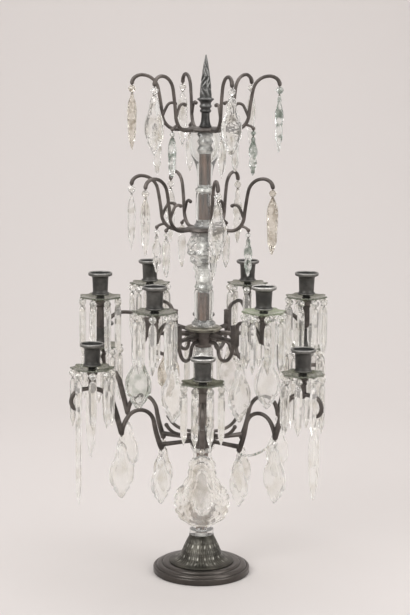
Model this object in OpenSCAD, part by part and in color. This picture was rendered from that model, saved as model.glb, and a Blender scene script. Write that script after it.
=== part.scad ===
// Table girandole: twelve candle cups on two tiers of scrolled arms, two crowns of crystal hooks
// above them, and a stem of turned glass threaded on one iron rod.
// Millimetres, +Z up, origin on the table under the middle of the foot. The front looks along -Y.

/* [Foot] */
// Radius of the foot on the table
foot_r = 82; // [74:1:92]
// Height of the whole moulded foot
foot_h = 19; // [17:0.5:26]
// Height of the foot's straight outer wall
foot_wall = 8; // [5:0.5:9]
// Depth of the hollow under the foot
foot_hollow = 8; // [7:0.5:10]
// Wall left around the hollow under the foot
foot_rim = 39; // [36:1:46]
// Radius of the leaf cone where it meets the foot
cone_r = 57; // [48:1:60]
// Radius of the leaf cone at its top
cone_top_r = 21; // [18:0.5:26]
// Height of the leaf cone
cone_h = 49; // [40:1:65]

/* [Stem] */
// Diameter of the iron rod that ties the stem together
rod_d = 13; // [11:0.2:14]
// Diameter of the rod's threaded ends
thread_d = 6.4; // [5:0.2:7]
// Gap all round the rod in the pieces threaded on it
rod_gap = 0.4; // [0.2:0.1:0.8]
// Radius of the glass columns
column_r = 16; // [14:0.5:18]
// Length of the lower glass column
lower_column_h = 158; // [140:1:180]
// Length of the middle glass column
middle_column_h = 147; // [130:1:170]
// Length of the upper glass column
upper_column_h = 64; // [50:1:80]
// Height of the glass vase
vase_h = 99; // [85:1:115]
// Widest radius of the glass vase
vase_r = 30.5; // [26:0.5:34]
// Length of the glass neck between the crowns
neck_h = 67; // [55:1:80]
// Height of the glass tulip under the upper crown
tulip_h = 94; // [80:1:110]
// Widest radius of the glass tulip
tulip_r = 27.5; // [24:0.5:30]
// Height of the finial
finial_h = 121; // [100:1:140]
// Widest radius of the finial
finial_r = 14; // [12:0.5:16]

/* [Hubs and crown plates] */
// Radius of the hub that carries the lower arms
lower_hub_r = 24; // [22:0.5:28]
// Height of that hub
lower_hub_h = 30; // [30:0.5:36]
// Radius of the bowl that carries the upper arms
bowl_r = 26; // [25:0.5:29]
// Height of the bowl
bowl_h = 29; // [28:0.5:34]
// Radius of the plate that covers the bowl
cover_r = 32; // [30:0.5:36]
// Height of that plate
cover_h = 7; // [5:0.5:10]
// Radius of a crown plate
crown_r = 36; // [32:0.5:40]
// Height of a crown plate
crown_h = 8; // [7:0.5:10]

/* [Arms] */
// Distance from the stem to an upper candle
upper_reach = 177; // [170:1:190]
// Distance from the stem to a lower candle
lower_reach = 209; // [200:1:220]
// Radius of an upper arm's round bar
upper_bar = 3.4; // [3:0.1:3.8]
// Radius of a lower arm's round bar
lower_bar = 3.8; // [3.2:0.1:4]
// Rise from an upper arm's root to the seat of its drip pan
upper_rise = 57; // [50:1:62]
// Rise from a lower arm's root to the seat of its drip pan
lower_rise = 139; // [134:1:146]
// Radius of the bar of a crown hook
hook_bar = 2.8; // [2.2:0.1:3]
// Distance from the stem to the tip of a crown hook
hook_reach = 124; // [118:1:132]
// Rise from a crown plate's middle to the top of its hooks
hook_rise = 93; // [86:1:100]

/* [Candle cups and drip pans] */
// Diameter of the candle's bore
candle_d = 23; // [20:0.5:24]
// Depth of the straight bore
candle_depth = 29; // [22:1:32]
// Radius of the cup's flared lip
lip_r = 20.5; // [18.5:0.5:23]
// Wall of the cup
cup_wall = 2.5; // [2:0.1:4]
// Radius of the cup's neck where it passes through the pan
neck_r = 6; // [5.2:0.1:7]
// Bare neck between the pan and the cup
neck_show = 6; // [4:0.5:9]
// Radius of the pan at its corners
pan_r = 37; // [34:0.5:40]
// Thickness of the pan's glass
pan_glass = 3.5; // [3:0.1:4.5]
// Height that the pan's edge rises above its middle
pan_rise = 6; // [4:0.5:8]
// Gap around the turning pan, and under it
pan_gap = 0.3; // [0.2:0.1:0.5]

/* [Crystal] */
// Height of the bead over a prism
bead_h = 13; // [10:0.5:15]
// Widest radius of that bead
bead_r = 6.6; // [5:0.1:7]
// Length of a pan's prism
prism_h = 84; // [70:1:92]
// Half width of a pan's flat prism
prism_r = 6.2; // [5:0.1:6.5]
// Thickness of that prism as a share of its width
prism_flat = 0.6; // [0.4:0.05:0.7]
// Length of a crown pendant's plaque
pendant_h = 96; // [70:1:100]
// Width of a plain crown pendant's plaque
pendant_w = 19; // [14:0.5:22]
// Length of a plaque on the lower arms
plaque_h = 98; // [80:1:105]
// Width of a plaque on the lower arms
plaque_w = 46; // [36:1:50]
// Length of the great plaque at the front
front_plaque_h = 122; // [100:1:130]
// Width of the great plaque at the front
front_plaque_w = 92; // [76:1:100]
// Length of an icicle under a lower arm's outer curl
icicle_h = 150; // [120:1:165]
// Radius of an icicle
icicle_r = 4.9; // [4:0.1:5.2]
// Length of the small plaque under a crown hook's nub
drop_h = 66; // [50:1:72]
// Width of that plaque
drop_w = 16; // [12:0.5:18]
// Gap between a stone and what it hangs from
hang_gap = 0.3; // [0.2:0.1:0.5]

/* [Hidden] */
$fn = 48;
TIER = 6;
UPPER_AZ = [for (i = [0 : TIER - 1]) 33.5 + 60 * i];
// Two lower arms and the hooks stand unevenly, as long use has bent them
LOWER_AZ = [0, 52, 120, 180, 240, 298];
UPPER_HOOK_AZ = [20, 86, 140, 199, 268, 318];
LOWER_HOOK_AZ = [10, 66, 152, 209, 270, 308];
PRISMS = 8;
swell = 1.1;
FRONT_ARM = 0;
FLAT_ICICLE = 1;
// Widths of the crown pendants as shares of a plain one, hook by hook. Past LEAF_SHARE they are leaves.
UPPER_PENDANT = [1.9, 0.8, 1, 1, 0.85, 2.3];
LOWER_PENDANT = [1.6, 1.1, 1, 1, 0.75, 1.05];
LEAF_SHARE = 1.5;
small_leaf = 0.86;

rod_r = rod_d / 2;
thread_r = thread_d / 2;
bore_r = rod_r + rod_gap;
z_cone = foot_h;
z_lower_column = z_cone + cone_h;
z_lower_hub = z_lower_column + lower_column_h;
z_middle_column = z_lower_hub + lower_hub_h;
z_bowl = z_middle_column + middle_column_h;
z_cover = z_bowl + bowl_h;
z_upper_column = z_cover + cover_h;
z_vase = z_upper_column + upper_column_h;
z_lower_crown = z_vase + vase_h;
z_neck = z_lower_crown + crown_h;
z_tulip = z_neck + neck_h;
z_upper_crown = z_tulip + tulip_h;
z_finial = z_upper_crown + crown_h;

// Heights at which the arms enter their hubs, and the seats of the drip pans
lug_r = upper_bar * 1.4;
upper_root = z_cover - lug_r - 1;
lower_root = z_lower_hub + 12;
spur_root = lower_root + 12;
spur_bar = lower_bar * 0.75;
upper_seat = upper_root + upper_rise;
lower_seat = lower_root + lower_rise;
hub_tenon = 9;
root_show = 6;

// Cup heights above the arm's seat
spigot_r = neck_r - 1.5;
spigot_h = 12;
ring_low = pan_gap + pan_glass + neck_show;
ring_h = 5;
cup_floor = ring_low + 4;
bore_top = cup_floor + candle_depth;
lip_h = 6;
rim_top = bore_top + lip_h;
bore_candle_r = candle_d / 2;
cup_r = bore_candle_r + cup_wall;

// Stones below a pan
hang_r = pan_r - 4.5;
pan_flat_r = neck_r + 7;
pan_under = pan_gap + pan_rise * (hang_r - pan_flat_r) / (pan_r - pan_flat_r);

// Hook tips above the middle of a crown plate
tip_drop = 16;
bud_r = hook_bar * 1.25;
hook_belly = 37;
nub_out = 45;
nub_up = 3;
hook_tip = [hook_reach, hook_rise - tip_drop];
hook_nub = [crown_r + nub_out, nub_up];

// Curves and bars

function unit(a) = [cos(a), sin(a)];
function left_of(t) = [-t.y, t.x];

// Points of a smooth bend from a to c that leans towards b
function bend(a, b, c, steps = 8) =
    [for (i = [0 : steps]) let (t = i / steps) (1 - t) * (1 - t) * a + 2 * t * (1 - t) * b + t * t * c];

// Point where the two arcs meet that lead smoothly from a to b, each given as [r, z, heading]
function meet(a, b) =
    let (
        p = [a[0], a[1]],
        q = [b[0], b[1]],
        t = unit(a[2]),
        u = unit(b[2]),
        v = q - p,
        k = 1 - t * u,
        s = v * (t + u),
        d = k < 0.000001 ? v * v / (2 * s) : (sqrt(s * s + 2 * k * (v * v)) - s) / (2 * k)
    )
    (p + q + d * (t - u)) / 2;

// Angle that an arc turns through from p, heading given, to q
function turn(p, heading, q) = 2 * atan2(left_of(unit(heading)) * (q - p), unit(heading) * (q - p));

// Round bar along one arc in the plane of an arm
module arc_bar(p, heading, q, r) {
    n = left_of(unit(heading));
    c = q - p;
    sweep = turn(p, heading, q);
    if (abs(sweep) < 0.5) {
        translate([p.x, 0, p.y])
            rotate([0, 90 - heading, 0])
                cylinder(h = norm(c), r = r);
    } else {
        radius = c * c / (2 * (n * c));
        centre = p + radius * n;
        first = sweep > 0 ? heading - 90 : heading + 90 + sweep;
        translate([centre.x, 0, centre.y])
            rotate([90, 0, 0])
                rotate([0, 0, first])
                    rotate_extrude(angle = abs(sweep))
                        translate([abs(radius), 0])
                            circle(r);
    }
}

// Round bar along a chain of [r, z, heading] stations, two arcs to each stretch.
// The bar swells a little where two arcs meet.
module bar(stations, r) {
    bead_at([stations[0][0], stations[0][1]], r * swell, stations[0][2] + 90);
    for (i = [0 : len(stations) - 2]) {
        a = stations[i];
        b = stations[i + 1];
        p = [a[0], a[1]];
        q = [b[0], b[1]];
        m = meet(a, b);
        half_way = a[2] + turn(p, a[2], m);
        arc_bar(p, a[2], m, r);
        bead_at(m, r * swell, half_way + 90);
        arc_bar(m, half_way, q, r);
        bead_at(q, r * swell, b[2] + 90);
    }
}

// Points along one arc after its start, each as [r, z, heading]
function arc_points(p, heading, q, steps) =
    let (sweep = turn(p, heading, q))
    [for (i = [1 : steps])
        let (
            a = sweep * i / steps,
            reach = abs(sweep) < 0.5 ? i / steps : sin(a / 2) / sin(sweep / 2),
            m = p + reach * norm(q - p) * unit(heading + a / 2)
        )
        [m.x, m.y, heading + a]];

// Points along a whole chain of stations
function chain_points(stations, steps) =
    concat([stations[0]], [for (i = [0 : len(stations) - 2])
        let (
            a = stations[i],
            b = stations[i + 1],
            p = [a[0], a[1]],
            m = meet(a, b)
        )
        each concat(
            arc_points(p, a[2], m, steps),
            arc_points(m, a[2] + turn(p, a[2], m), [b[0], b[1]], steps))]);

// Slim bar with hammered sides along a chain of stations, as thick as a round bar of radius r
module strand(stations, r, steps = 3) {
    sides = 8;
    half = r * sqrt(PI / (sides * sin(180 / sides) * cos(180 / sides)));
    path = chain_points(stations, steps);
    last = len(path) - 1;
    points = [for (k = path, j = [0 : sides - 1])
        let (n = left_of(unit(k[2])), a = 360 * j / sides)
        [k[0] + half * cos(a) * n.x, half * sin(a), k[1] + half * cos(a) * n.y]];
    walls = [for (i = [0 : last - 1], j = [0 : sides - 1])
        let (a = i * sides + j, b = i * sides + (j + 1) % sides)
        [a, b, b + sides, a + sides]];
    caps = [[for (j = [sides - 1 : -1 : 0]) j], [for (j = [0 : sides - 1]) last * sides + j]];
    polyhedron(points, concat(walls, caps), convexity = 6);
}

// Straight round bar level with its root, from radius a to radius b
module level_bar(a, b, z, r) {
    translate([a, 0, z])
        rotate([0, 90, 0])
            cylinder(h = b - a, r = r);
}

// Round bead on a bar, turned so that its free side looks along the heading
module bead_at(p, r, heading = -90) {
    translate([p.x, 0, p.y])
        rotate([0, -heading, 0])
            rotate([90, 0, 0])
                sphere(r);
}

// Places something drawn along +X at an angle from the front
module facing(az) {
    rotate([0, 0, az - 90])
        children();
}

// Turned piece threaded on the rod, its outline running up from z = 0
module turned(outline, h) {
    difference() {
        rotate_extrude()
            polygon(concat([[0, 0]], outline, [[0, h]]));
        translate([0, 0, -1])
            cylinder(h = h + 2, r = bore_r);
    }
}

// Stones

// Flat sided stone hanging from z = 0 to a point at depth h, with a ring of corners at each [r, depth]
module stone(h, rings, sides) {
    corners = [for (k = rings, i = [0 : sides - 1]) concat(k[0] * unit(i * 360 / sides), -k[1])];
    last = len(corners);
    top = [for (i = [0 : sides - 1]) [last, (i + 1) % sides, i]];
    foot = [for (i = [0 : sides - 1]) let (k = last - sides) [last + 1, k + i, k + (i + 1) % sides]];
    walls = [for (k = [0 : sides : last - 2 * sides], i = [0 : sides - 1]) let (j = (i + 1) % sides)
        [k + i, k + j, k + sides + j, k + sides + i]];
    polyhedron(concat(corners, [[0, 0, 0], [0, 0, -h]]), concat(top, walls, foot));
}

module bead(h, r) {
    stone(h, [[r, h * 0.45]], 8);
}

module spear(h, r) {
    stone(h, [[r, r * 1.3], [r * 0.86, h * 0.8]], 6);
}

// Flat plaque hanging from z = 0, facing +X, bevelled to a smaller table on both faces.
// widths are its half widths at even steps from top to bottom.
module plaque(h, widths, thick) {
    n = len(widths);
    side = [for (i = [0 : n - 1]) [widths[i], -h * i / (n - 1)]];
    edge = concat(side, [for (i = [n - 1 : -1 : 0]) [-side[i].x, side[i].y]]);
    m = len(edge);
    table = [for (p = edge) [p.x * 0.62, (p.y + h / 2) * 0.78 - h / 2]];
    points = concat(
        [for (p = table) [thick / 2, p.x, p.y]],
        [for (p = edge) [0, p.x, p.y]],
        [for (p = table) [-thick / 2, p.x, p.y]]);
    walls = [for (k = [0, m], i = [0 : m - 1]) let (j = (i + 1) % m)
        [k + i, k + m + i, k + m + j, k + j]];
    caps = [[for (i = [0 : m - 1]) i], [for (i = [m - 1 : -1 : 0]) 2 * m + i]];
    polyhedron(points, concat(walls, caps), convexity = 4);
}

// Half widths of the three plaque patterns, as shares of the widest
module leaf_plaque(h, w) {
    plaque(h, [for (k = [0.12, 0.44, 0.58, 0.8, 0.97, 1, 0.72, 0.42, 0.06]) k * w / 2], w * 0.26);
}

module lobed_plaque(h, w) {
    plaque(h, [for (k = [0.1, 0.46, 0.56, 0.6, 0.72, 0.94, 1, 0.92, 0.8, 0.46, 0.05]) k * w / 2], w * 0.2);
}

module spear_plaque(h, w) {
    plaque(h, [for (k = [0.2, 0.72, 1, 0.92, 0.8, 0.66, 0.1]) k * w / 2], w * 0.45);
}

// Plaques at the sides hang in line with their arm, those at the front and back square to it
function hang_turn(az) = abs(sin(az)) > 0.75 ? 90 : 0;

// A bead with a stone under it, hung below the point [r, z] of an arm and turned about its wire
module hung(p, bead_height, bead_radius, turn = 0) {
    translate([p.x, 0, p.y - hang_gap])
        rotate([0, 0, turn]) {
            bead(bead_height, bead_radius);
            translate([0, 0, -bead_height - hang_gap])
                children();
        }
}

// Foot and stem

module foot() {
    lip = 3;
    step_r = cone_r + 15;
    inner_r = foot_r - foot_rim;
    color("#3a322d")
        rotate_extrude()
            polygon(concat(
                [[bore_r, foot_hollow], [inner_r, foot_hollow], [inner_r, 0]],
                [[foot_r - 1, 0], [foot_r, 1], [foot_r, foot_wall - 2]],
                bend([foot_r, foot_wall - 2], [foot_r, foot_wall], [foot_r - lip, foot_wall], 4),
                bend([foot_r - lip, foot_wall + 1], [step_r + 4, foot_wall + 1], [step_r, foot_h - 3]),
                [[step_r - 4, foot_h - 3], [step_r - 4, foot_h - 2]],
                bend([step_r - 6, foot_h - 2], [step_r - 6, foot_h], [cone_r, foot_h], 4),
                [[bore_r, foot_h]]));
}

module leaf_cone() {
    color("#34322b")
        translate([0, 0, z_cone])
            turned(concat(
                [[cone_r, 0], [cone_r, 2]],
                bend([cone_r - 2, 3], [cone_r * 0.48, cone_h * 0.42], [cone_top_r, cone_h - 4], 10),
                [[cone_top_r, cone_h]]), cone_h);
}

module base_nut() {
    nut_h = foot_hollow - 2;
    color("#6b5646")
        translate([0, 0, foot_hollow - nut_h])
            difference() {
                cylinder(h = nut_h, r = rod_d, $fn = 6);
                translate([0, 0, -1])
                    cylinder(h = nut_h + 2, r = thread_r);
            }
}

finial_bore = finial_h * 0.3;

module stem_rod() {
    start = foot_hollow / 4;
    color("#8a6650") {
        translate([0, 0, start])
            cylinder(h = z_finial + finial_bore - start, r = thread_r);
        translate([0, 0, foot_hollow])
            cylinder(h = z_finial - foot_hollow, r = rod_r);
    }
}

module lower_column() {
    flare = column_r + 5;
    top = lower_column_h;
    color("#dfe6e2", 0.5)
        translate([0, 0, z_lower_column])
            turned(concat(
                [[flare - 1, 0], [flare, 2]],
                bend([flare, 9], [column_r, 10], [column_r - 1, 17], 6),
                [[column_r, 22], [column_r, top - 12]],
                bend([column_r, top - 10], [column_r + 4, top - 5], [column_r, top], 6)), top);
}

module middle_column() {
    slim = column_r - 2;
    top = middle_column_h;
    collar = 8;
    color("#dfe6e2", 0.5)
        translate([0, 0, z_middle_column])
            turned(concat(
                bend([slim, 0], [column_r + 3, collar / 2], [slim, collar], 6),
                bend([slim, top / 2 - collar], [column_r + 3, top / 2], [slim, top / 2 + collar], 6),
                bend([slim, top - collar], [column_r + 1, top - collar / 2], [slim, top], 6)), top);
}

module upper_column() {
    top = upper_column_h;
    flare = column_r + 4.5;
    color("#dfe6e2", 0.5)
        translate([0, 0, z_upper_column])
            turned(concat(
                [[flare - 1, 0], [flare, 2], [flare, 6]],
                bend([flare - 2, 8], [column_r - 2, 10], [column_r, 18], 5),
                [[column_r + 1, top * 0.7]],
                bend([column_r + 1, top - 10], [column_r + 1, top - 2], [column_r - 2, top], 4)), top);
}

module vase() {
    top = vase_h;
    color("#dfe6e2", 0.5)
        translate([0, 0, z_vase])
            turned(concat(
                bend([column_r - 2, 0], [column_r + 3, 3], [column_r - 2, 8], 4),
                bend([column_r - 2, 14], [column_r, top * 0.4], [vase_r - 4, top * 0.58]),
                bend([vase_r - 4, top * 0.58], [vase_r + 4, top * 0.74], [vase_r - 4, top * 0.88], 6),
                [[vase_r - 8, top * 0.94], [vase_r - 7, top]]), top);
}

module neck_column() {
    top = neck_h;
    slim = column_r - 1;
    color("#dfe6e2", 0.5)
        translate([0, 0, z_neck])
            turned(concat(
                [[slim + 3, 0], [slim + 3, 4]],
                bend([slim + 1, 6], [slim - 2, 10], [slim, 18], 4),
                [[slim, top - 10]],
                bend([slim - 1, top - 8], [slim + 4, top - 4], [slim - 1, top], 5)), top);
}

module tulip() {
    top = tulip_h;
    stalk = column_r - 4;
    color("#dfe6e2", 0.5)
        translate([0, 0, z_tulip])
            turned(concat(
                [[stalk + 1, 0], [stalk, 4]],
                bend([stalk, 8], [stalk + 2, top * 0.42], [tulip_r - 2, top * 0.58]),
                bend([tulip_r - 2, top * 0.58], [tulip_r + 2, top * 0.72], [tulip_r - 2, top * 0.92], 6),
                [[tulip_r - 4, top]]), top);
}

module finial() {
    waist = finial_h * 0.2;
    rim = finial_h * 0.4 - 2;
    plinth_r = finial_r * 0.75;
    waist_r = finial_r * 0.5;
    knop_r = finial_r * 0.68;
    spike_r = finial_r * 0.71;
    color("#3d4140")
        translate([0, 0, z_finial])
            difference() {
                rotate_extrude()
                    polygon(concat(
                        [[0, 0], [plinth_r, 0], [plinth_r, 3]],
                        bend([plinth_r - 1.5, 5], [waist_r - 0.5, waist * 0.5], [waist_r, waist], 5),
                        [[knop_r, waist + 2], [knop_r, waist + 5], [knop_r - 1.5, waist + 6]],
                        bend([knop_r + 0.5, waist + 9], [knop_r + 1.5, waist + 11], [knop_r, waist + 14], 3),
                        bend([waist_r + 2, rim - 6], [spike_r, rim - 2], [finial_r, rim], 3),
                        [[finial_r, rim + 2]],
                        bend([spike_r, rim + 4], [spike_r - 1, finial_h * 0.66], [1, finial_h - 0.6], 6),
                        [[0, finial_h]]));
                translate([0, 0, -1])
                    cylinder(h = finial_bore + 1, r = thread_r);
            }
}

// Hubs and crown plates

module lower_hub() {
    r = lower_hub_r;
    h = lower_hub_h;
    color("#342d28")
        translate([0, 0, z_lower_hub])
            difference() {
                turned(concat(
                    [[r - 6, 0], [r - 5, 3]],
                    bend([r - 3, 4], [r + 1, h * 0.5], [r - 3, h - 4], 8),
                    [[r - 5, h - 3], [r - 6, h]]), h);
                for (az = LOWER_AZ)
                    facing(az) {
                        level_bar(r - hub_tenon, r + 4, lower_root - z_lower_hub, lower_bar);
                        level_bar(r - hub_tenon, r + 4, spur_root - z_lower_hub, spur_bar);
                    }
            }
}

module upper_hub_bowl() {
    color("#342d28")
        difference() {
            translate([0, 0, z_bowl])
                turned(concat(
                    [[bowl_r - 12, 0], [bowl_r - 11, 4]],
                    bend([bowl_r - 9, 5], [bowl_r - 4, bowl_h * 0.3], [bowl_r, bowl_h * 0.62]),
                    [[bowl_r, bowl_h]]), bowl_h);
            for (az = UPPER_AZ)
                facing(az) {
                    level_bar(bowl_r - hub_tenon, bowl_r + 4, upper_root, lug_r);
                    level_bar(bowl_r - hub_tenon, bowl_r + 4, strap_root, upper_bar);
                }
        }
}

module upper_hub_cover() {
    color("#4a4238")
        translate([0, 0, z_cover])
            turned(concat(
                [[cover_r - 3, 0]],
                bend([cover_r - 3, 1], [cover_r + 2, cover_h / 2], [cover_r - 2, cover_h - 1], 6),
                [[cover_r - 6, cover_h - 1], [cover_r - 6, cover_h]]), cover_h);
}

module crown_plate(z, azimuths) {
    color("#3a322d")
        translate([0, 0, z])
            difference() {
                turned(concat(
                    [[crown_r - 8, 0]],
                    bend([crown_r - 5, 1], [crown_r + 3, crown_h / 2], [crown_r - 5, crown_h - 1], 6),
                    [[crown_r - 8, crown_h]]), crown_h);
                for (az = azimuths)
                    facing(az)
                        level_bar(crown_r - hub_tenon, crown_r + 4, crown_h / 2, hook_bar);
            }
}

module lower_crown_plate() {
    crown_plate(z_lower_crown, LOWER_HOOK_AZ);
}

module upper_crown_plate() {
    crown_plate(z_upper_crown, UPPER_HOOK_AZ);
}

// Candle arms

// Calyx that carries the pan and the cup, with the socket for the cup's spigot
module calyx(seat, low, r_low) {
    flange = neck_r + 3;
    rotate_extrude()
        polygon(concat(
            [[0, low], [r_low * 0.5, low]],
            bend([r_low, low + 4], [r_low + 0.5, seat - 20], [flange - 2, seat - 6], 5),
            [[flange, seat - 4], [flange, seat], [0, seat]]));
}

module cup_socket(seat) {
    translate([0, 0, seat - spigot_h - 1])
        cylinder(h = spigot_h + 2, r = spigot_r);
}

// Square post that an upper arm's bars are gathered in
post_r = upper_reach * 0.54;
post_w = 2 * upper_bar + 9;
post_d = 2 * upper_bar + 2;
post_h = 35;
post_low = upper_root - 7;
post_side = 4;
// Stations of the strap, which leaves the bowl and folds up into the post
strap_root = upper_root - 12;
strap_drop = 38;
strap_stations = [
    [bowl_r + root_show, strap_root, 0],
    [(bowl_r + post_r) / 2, upper_root - strap_drop, 0],
    [post_r - post_side, upper_root, 90]];
// Stations of the arm itself, from the post over its arch to the tip below the cup
arch_tip = [upper_reach - 6, upper_root + 13];
arch_rise = 37;
arch_stations = [
    [post_r + post_side, upper_root + 20, 84],
    [(post_r + upper_reach) / 2, upper_root + arch_rise, 0],
    [arch_tip.x, arch_tip.y, -62]];
// The tail of the arm, which turns outwards below the post
tail_tip = [post_r + 16, upper_root - 23];
tail_stations = [
    [post_r + post_side, upper_root - 4, -90],
    [tail_tip.x, tail_tip.y, -15]];
tail_bud = upper_bar + 0.8;

module upper_arm() {
    difference() {
        union() {
            level_bar(bowl_r - hub_tenon, post_r - post_w / 2 + 1, upper_root, lug_r);
            level_bar(bowl_r - hub_tenon, bowl_r + root_show, strap_root, upper_bar);
            bar(strap_stations, upper_bar);
            bar(arch_stations, upper_bar);
            bar(tail_stations, upper_bar);
            translate([post_r - post_w / 2, -post_d / 2, post_low])
                cube([post_w, post_d, post_h]);
            bead_at(arch_tip, upper_bar + 1);
            bead_at(tail_tip, tail_bud, tail_stations[1][2]);
            translate([upper_reach, 0, 0])
                calyx(upper_seat, arch_tip.y - 4, neck_r + 0.5);
        }
        translate([upper_reach, 0, 0])
            cup_socket(upper_seat);
    }
}

module upper_arms() {
    color("#3a322d")
        for (az = UPPER_AZ)
            facing(az)
                upper_arm();
}

// Rises of a lower arm above its root: first arch, second tip, crest, side of the outer curl and its tip
arch_top = 65;
second_rise = 28;
crest_rise = 110;
curl_rise = 95;
curl_tip_rise = 78;
// Places along it: first tip from the hub, and the others from the line of its cup
first_out = 56;
second_in = 54;
curl_out = 38;
curl_tip_out = 25;
first_tip = [lower_hub_r + first_out, lower_root - 5];
second_tip = [lower_reach - second_in, lower_root + second_rise];
curl_tip = [lower_reach + curl_tip_out, lower_root + curl_tip_rise];
first_bud = lower_bar + 1.6;
second_bud = lower_bar + 1;
curl_bud = lower_bar + 0.9;
// Stations of its first arch, its long rise past the cup into the outer curl, and the spur by the hub
first_arch = [
    [first_tip.x, first_tip.y, 66],
    [(first_tip.x + second_tip.x) / 2 + 5, lower_root + arch_top, 0],
    [second_tip.x, second_tip.y, -82]];
long_rise = [
    [second_tip.x, second_tip.y, 74],
    [lower_reach - 4, lower_root + crest_rise, 10],
    [lower_reach + curl_out, lower_root + curl_rise, -82],
    [curl_tip.x, curl_tip.y, -190]];
spur = [
    [lower_hub_r + root_show, spur_root, 0],
    [lower_hub_r + 46, spur_root + 21, 62]];

module lower_arm() {
    spur_end = spur[len(spur) - 1];
    difference() {
        union() {
            level_bar(lower_hub_r - hub_tenon, first_tip.x, lower_root, lower_bar);
            bar(first_arch, lower_bar);
            bar(long_rise, lower_bar);
            level_bar(lower_hub_r - hub_tenon, lower_hub_r + root_show, spur_root, spur_bar);
            bar(spur, spur_bar);
            bead_at(first_tip, first_bud);
            bead_at(second_tip, second_bud);
            bead_at(curl_tip, curl_bud, long_rise[3][2]);
            bead_at([spur_end[0], spur_end[1]], spur_bar + 1.2, spur_end[2]);
            translate([lower_reach, 0, 0])
                calyx(lower_seat, lower_root + crest_rise - 6, neck_r + 0.5);
        }
        translate([lower_reach, 0, 0])
            cup_socket(lower_seat);
    }
}

module lower_arms() {
    color("#3a322d")
        for (az = LOWER_AZ)
            facing(az)
                lower_arm();
}

// Crown hooks

module crown_hook() {
    elbow = crown_r + hook_belly;
    curl = [crown_r + 15, hook_rise * 0.46];
    tip_heading = -84;
    curl_heading = 215;
    nub_heading = -50;
    level_bar(crown_r - hub_tenon, crown_r + 12, 0, hook_bar);
    strand([
        [crown_r + 10, 0, 0],
        [elbow, hook_rise * 0.26, 84],
        [hook_reach - 17, hook_rise - hook_bar, 0],
        [hook_tip.x, hook_tip.y, tip_heading]], hook_bar);
    strand([
        [elbow, hook_rise * 0.22, 110],
        [curl.x, curl.y, curl_heading]], hook_bar * 0.85);
    strand([
        [elbow - 5, hook_rise * 0.1, -10],
        [hook_nub.x, hook_nub.y, nub_heading]], hook_bar * 0.85, 2);
    bead_at(hook_tip, bud_r, tip_heading);
    bead_at(curl, bud_r, curl_heading);
    bead_at(hook_nub, bud_r, nub_heading);
}

module crown_hooks(z, azimuths) {
    color("#3a322d")
        translate([0, 0, z + crown_h / 2])
            for (az = azimuths)
                facing(az)
                    crown_hook();
}

module lower_crown_hooks() {
    crown_hooks(z_lower_crown, LOWER_HOOK_AZ);
}

module upper_crown_hooks() {
    crown_hooks(z_upper_crown, UPPER_HOOK_AZ);
}

// Cups, pans and prisms

module candle_cup() {
    mouth_r = lip_r - 2;
    ring_r = cup_r - 0.5;
    ring_top = ring_low + ring_h;
    color("#3c3d40")
        difference() {
            rotate_extrude()
                polygon(concat(
                    [[0, -spigot_h], [spigot_r, -spigot_h], [spigot_r, 0], [neck_r, 0], [neck_r, ring_low]],
                    bend([ring_r, ring_low], [ring_r + 3.5, ring_low + ring_h / 2], [ring_r, ring_top], 4),
                    [[cup_r - 1.2, ring_top + 1], [cup_r, bore_top - 1]],
                    bend([cup_r, bore_top - 1], [cup_r, bore_top + 3], [lip_r, bore_top + 4], 5),
                    [[lip_r, rim_top], [0, rim_top]]));
            translate([0, 0, cup_floor])
                cylinder(h = candle_depth + lip_h + 1, r = bore_candle_r);
            rotate_extrude()
                polygon(concat(
                    [[0, bore_top]],
                    bend([bore_candle_r, bore_top], [bore_candle_r, rim_top - 2], [mouth_r, rim_top], 5),
                    [[mouth_r, rim_top + 1], [0, rim_top + 1]]));
        }
}

module candle_cups() {
    for (az = UPPER_AZ)
        facing(az)
            translate([upper_reach, 0, upper_seat])
                candle_cup();
    for (az = LOWER_AZ)
        facing(az)
            translate([lower_reach, 0, lower_seat])
                candle_cup();
}

// Eight sided glass dish whose corners stand higher than the hollowed sides between them
module drip_pan() {
    side_r = pan_r * 0.9;
    scoop_r = pan_r * 0.6;
    low = pan_gap;
    edge_h = pan_gap + pan_rise;
    color("#b9c2ae", 0.6)
        difference() {
            rotate_extrude()
                polygon([
                    [neck_r + pan_gap, low], [pan_flat_r, low], [pan_r, edge_h],
                    [pan_r, edge_h + pan_glass * 0.7], [pan_flat_r + 1, low + pan_glass],
                    [neck_r + pan_gap, low + pan_glass]]);
            for (i = [0 : PRISMS - 1])
                rotate([0, 0, i * 360 / PRISMS])
                    translate([side_r + scoop_r * 0.93, 0, 0])
                        cylinder(h = edge_h + pan_glass + 1, r = scoop_r);
        }
}

// Beads and prisms under the corners of a pan, clear of the arm that runs between two of them
module pan_prisms() {
    color("#e6ece8", 0.5)
        for (i = [0 : PRISMS - 1])
            rotate([0, 0, (i + 0.5) * 360 / PRISMS])
                hung([hang_r, pan_under], bead_h, bead_r)
                    rotate([0, 0, 90])
                        scale([1, prism_flat, 1])
                            spear(prism_h, prism_r);
}

module upper_drip_pan(i) {
    facing(UPPER_AZ[i])
        translate([upper_reach, 0, upper_seat])
            drip_pan();
}

module lower_drip_pan(i) {
    facing(LOWER_AZ[i])
        translate([lower_reach, 0, lower_seat])
            drip_pan();
}

module upper_prisms(i) {
    facing(UPPER_AZ[i])
        translate([upper_reach, 0, upper_seat])
            pan_prisms();
}

module lower_prisms(i) {
    facing(LOWER_AZ[i])
        translate([lower_reach, 0, lower_seat])
            pan_prisms();
}

// Hanging crystal

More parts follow.
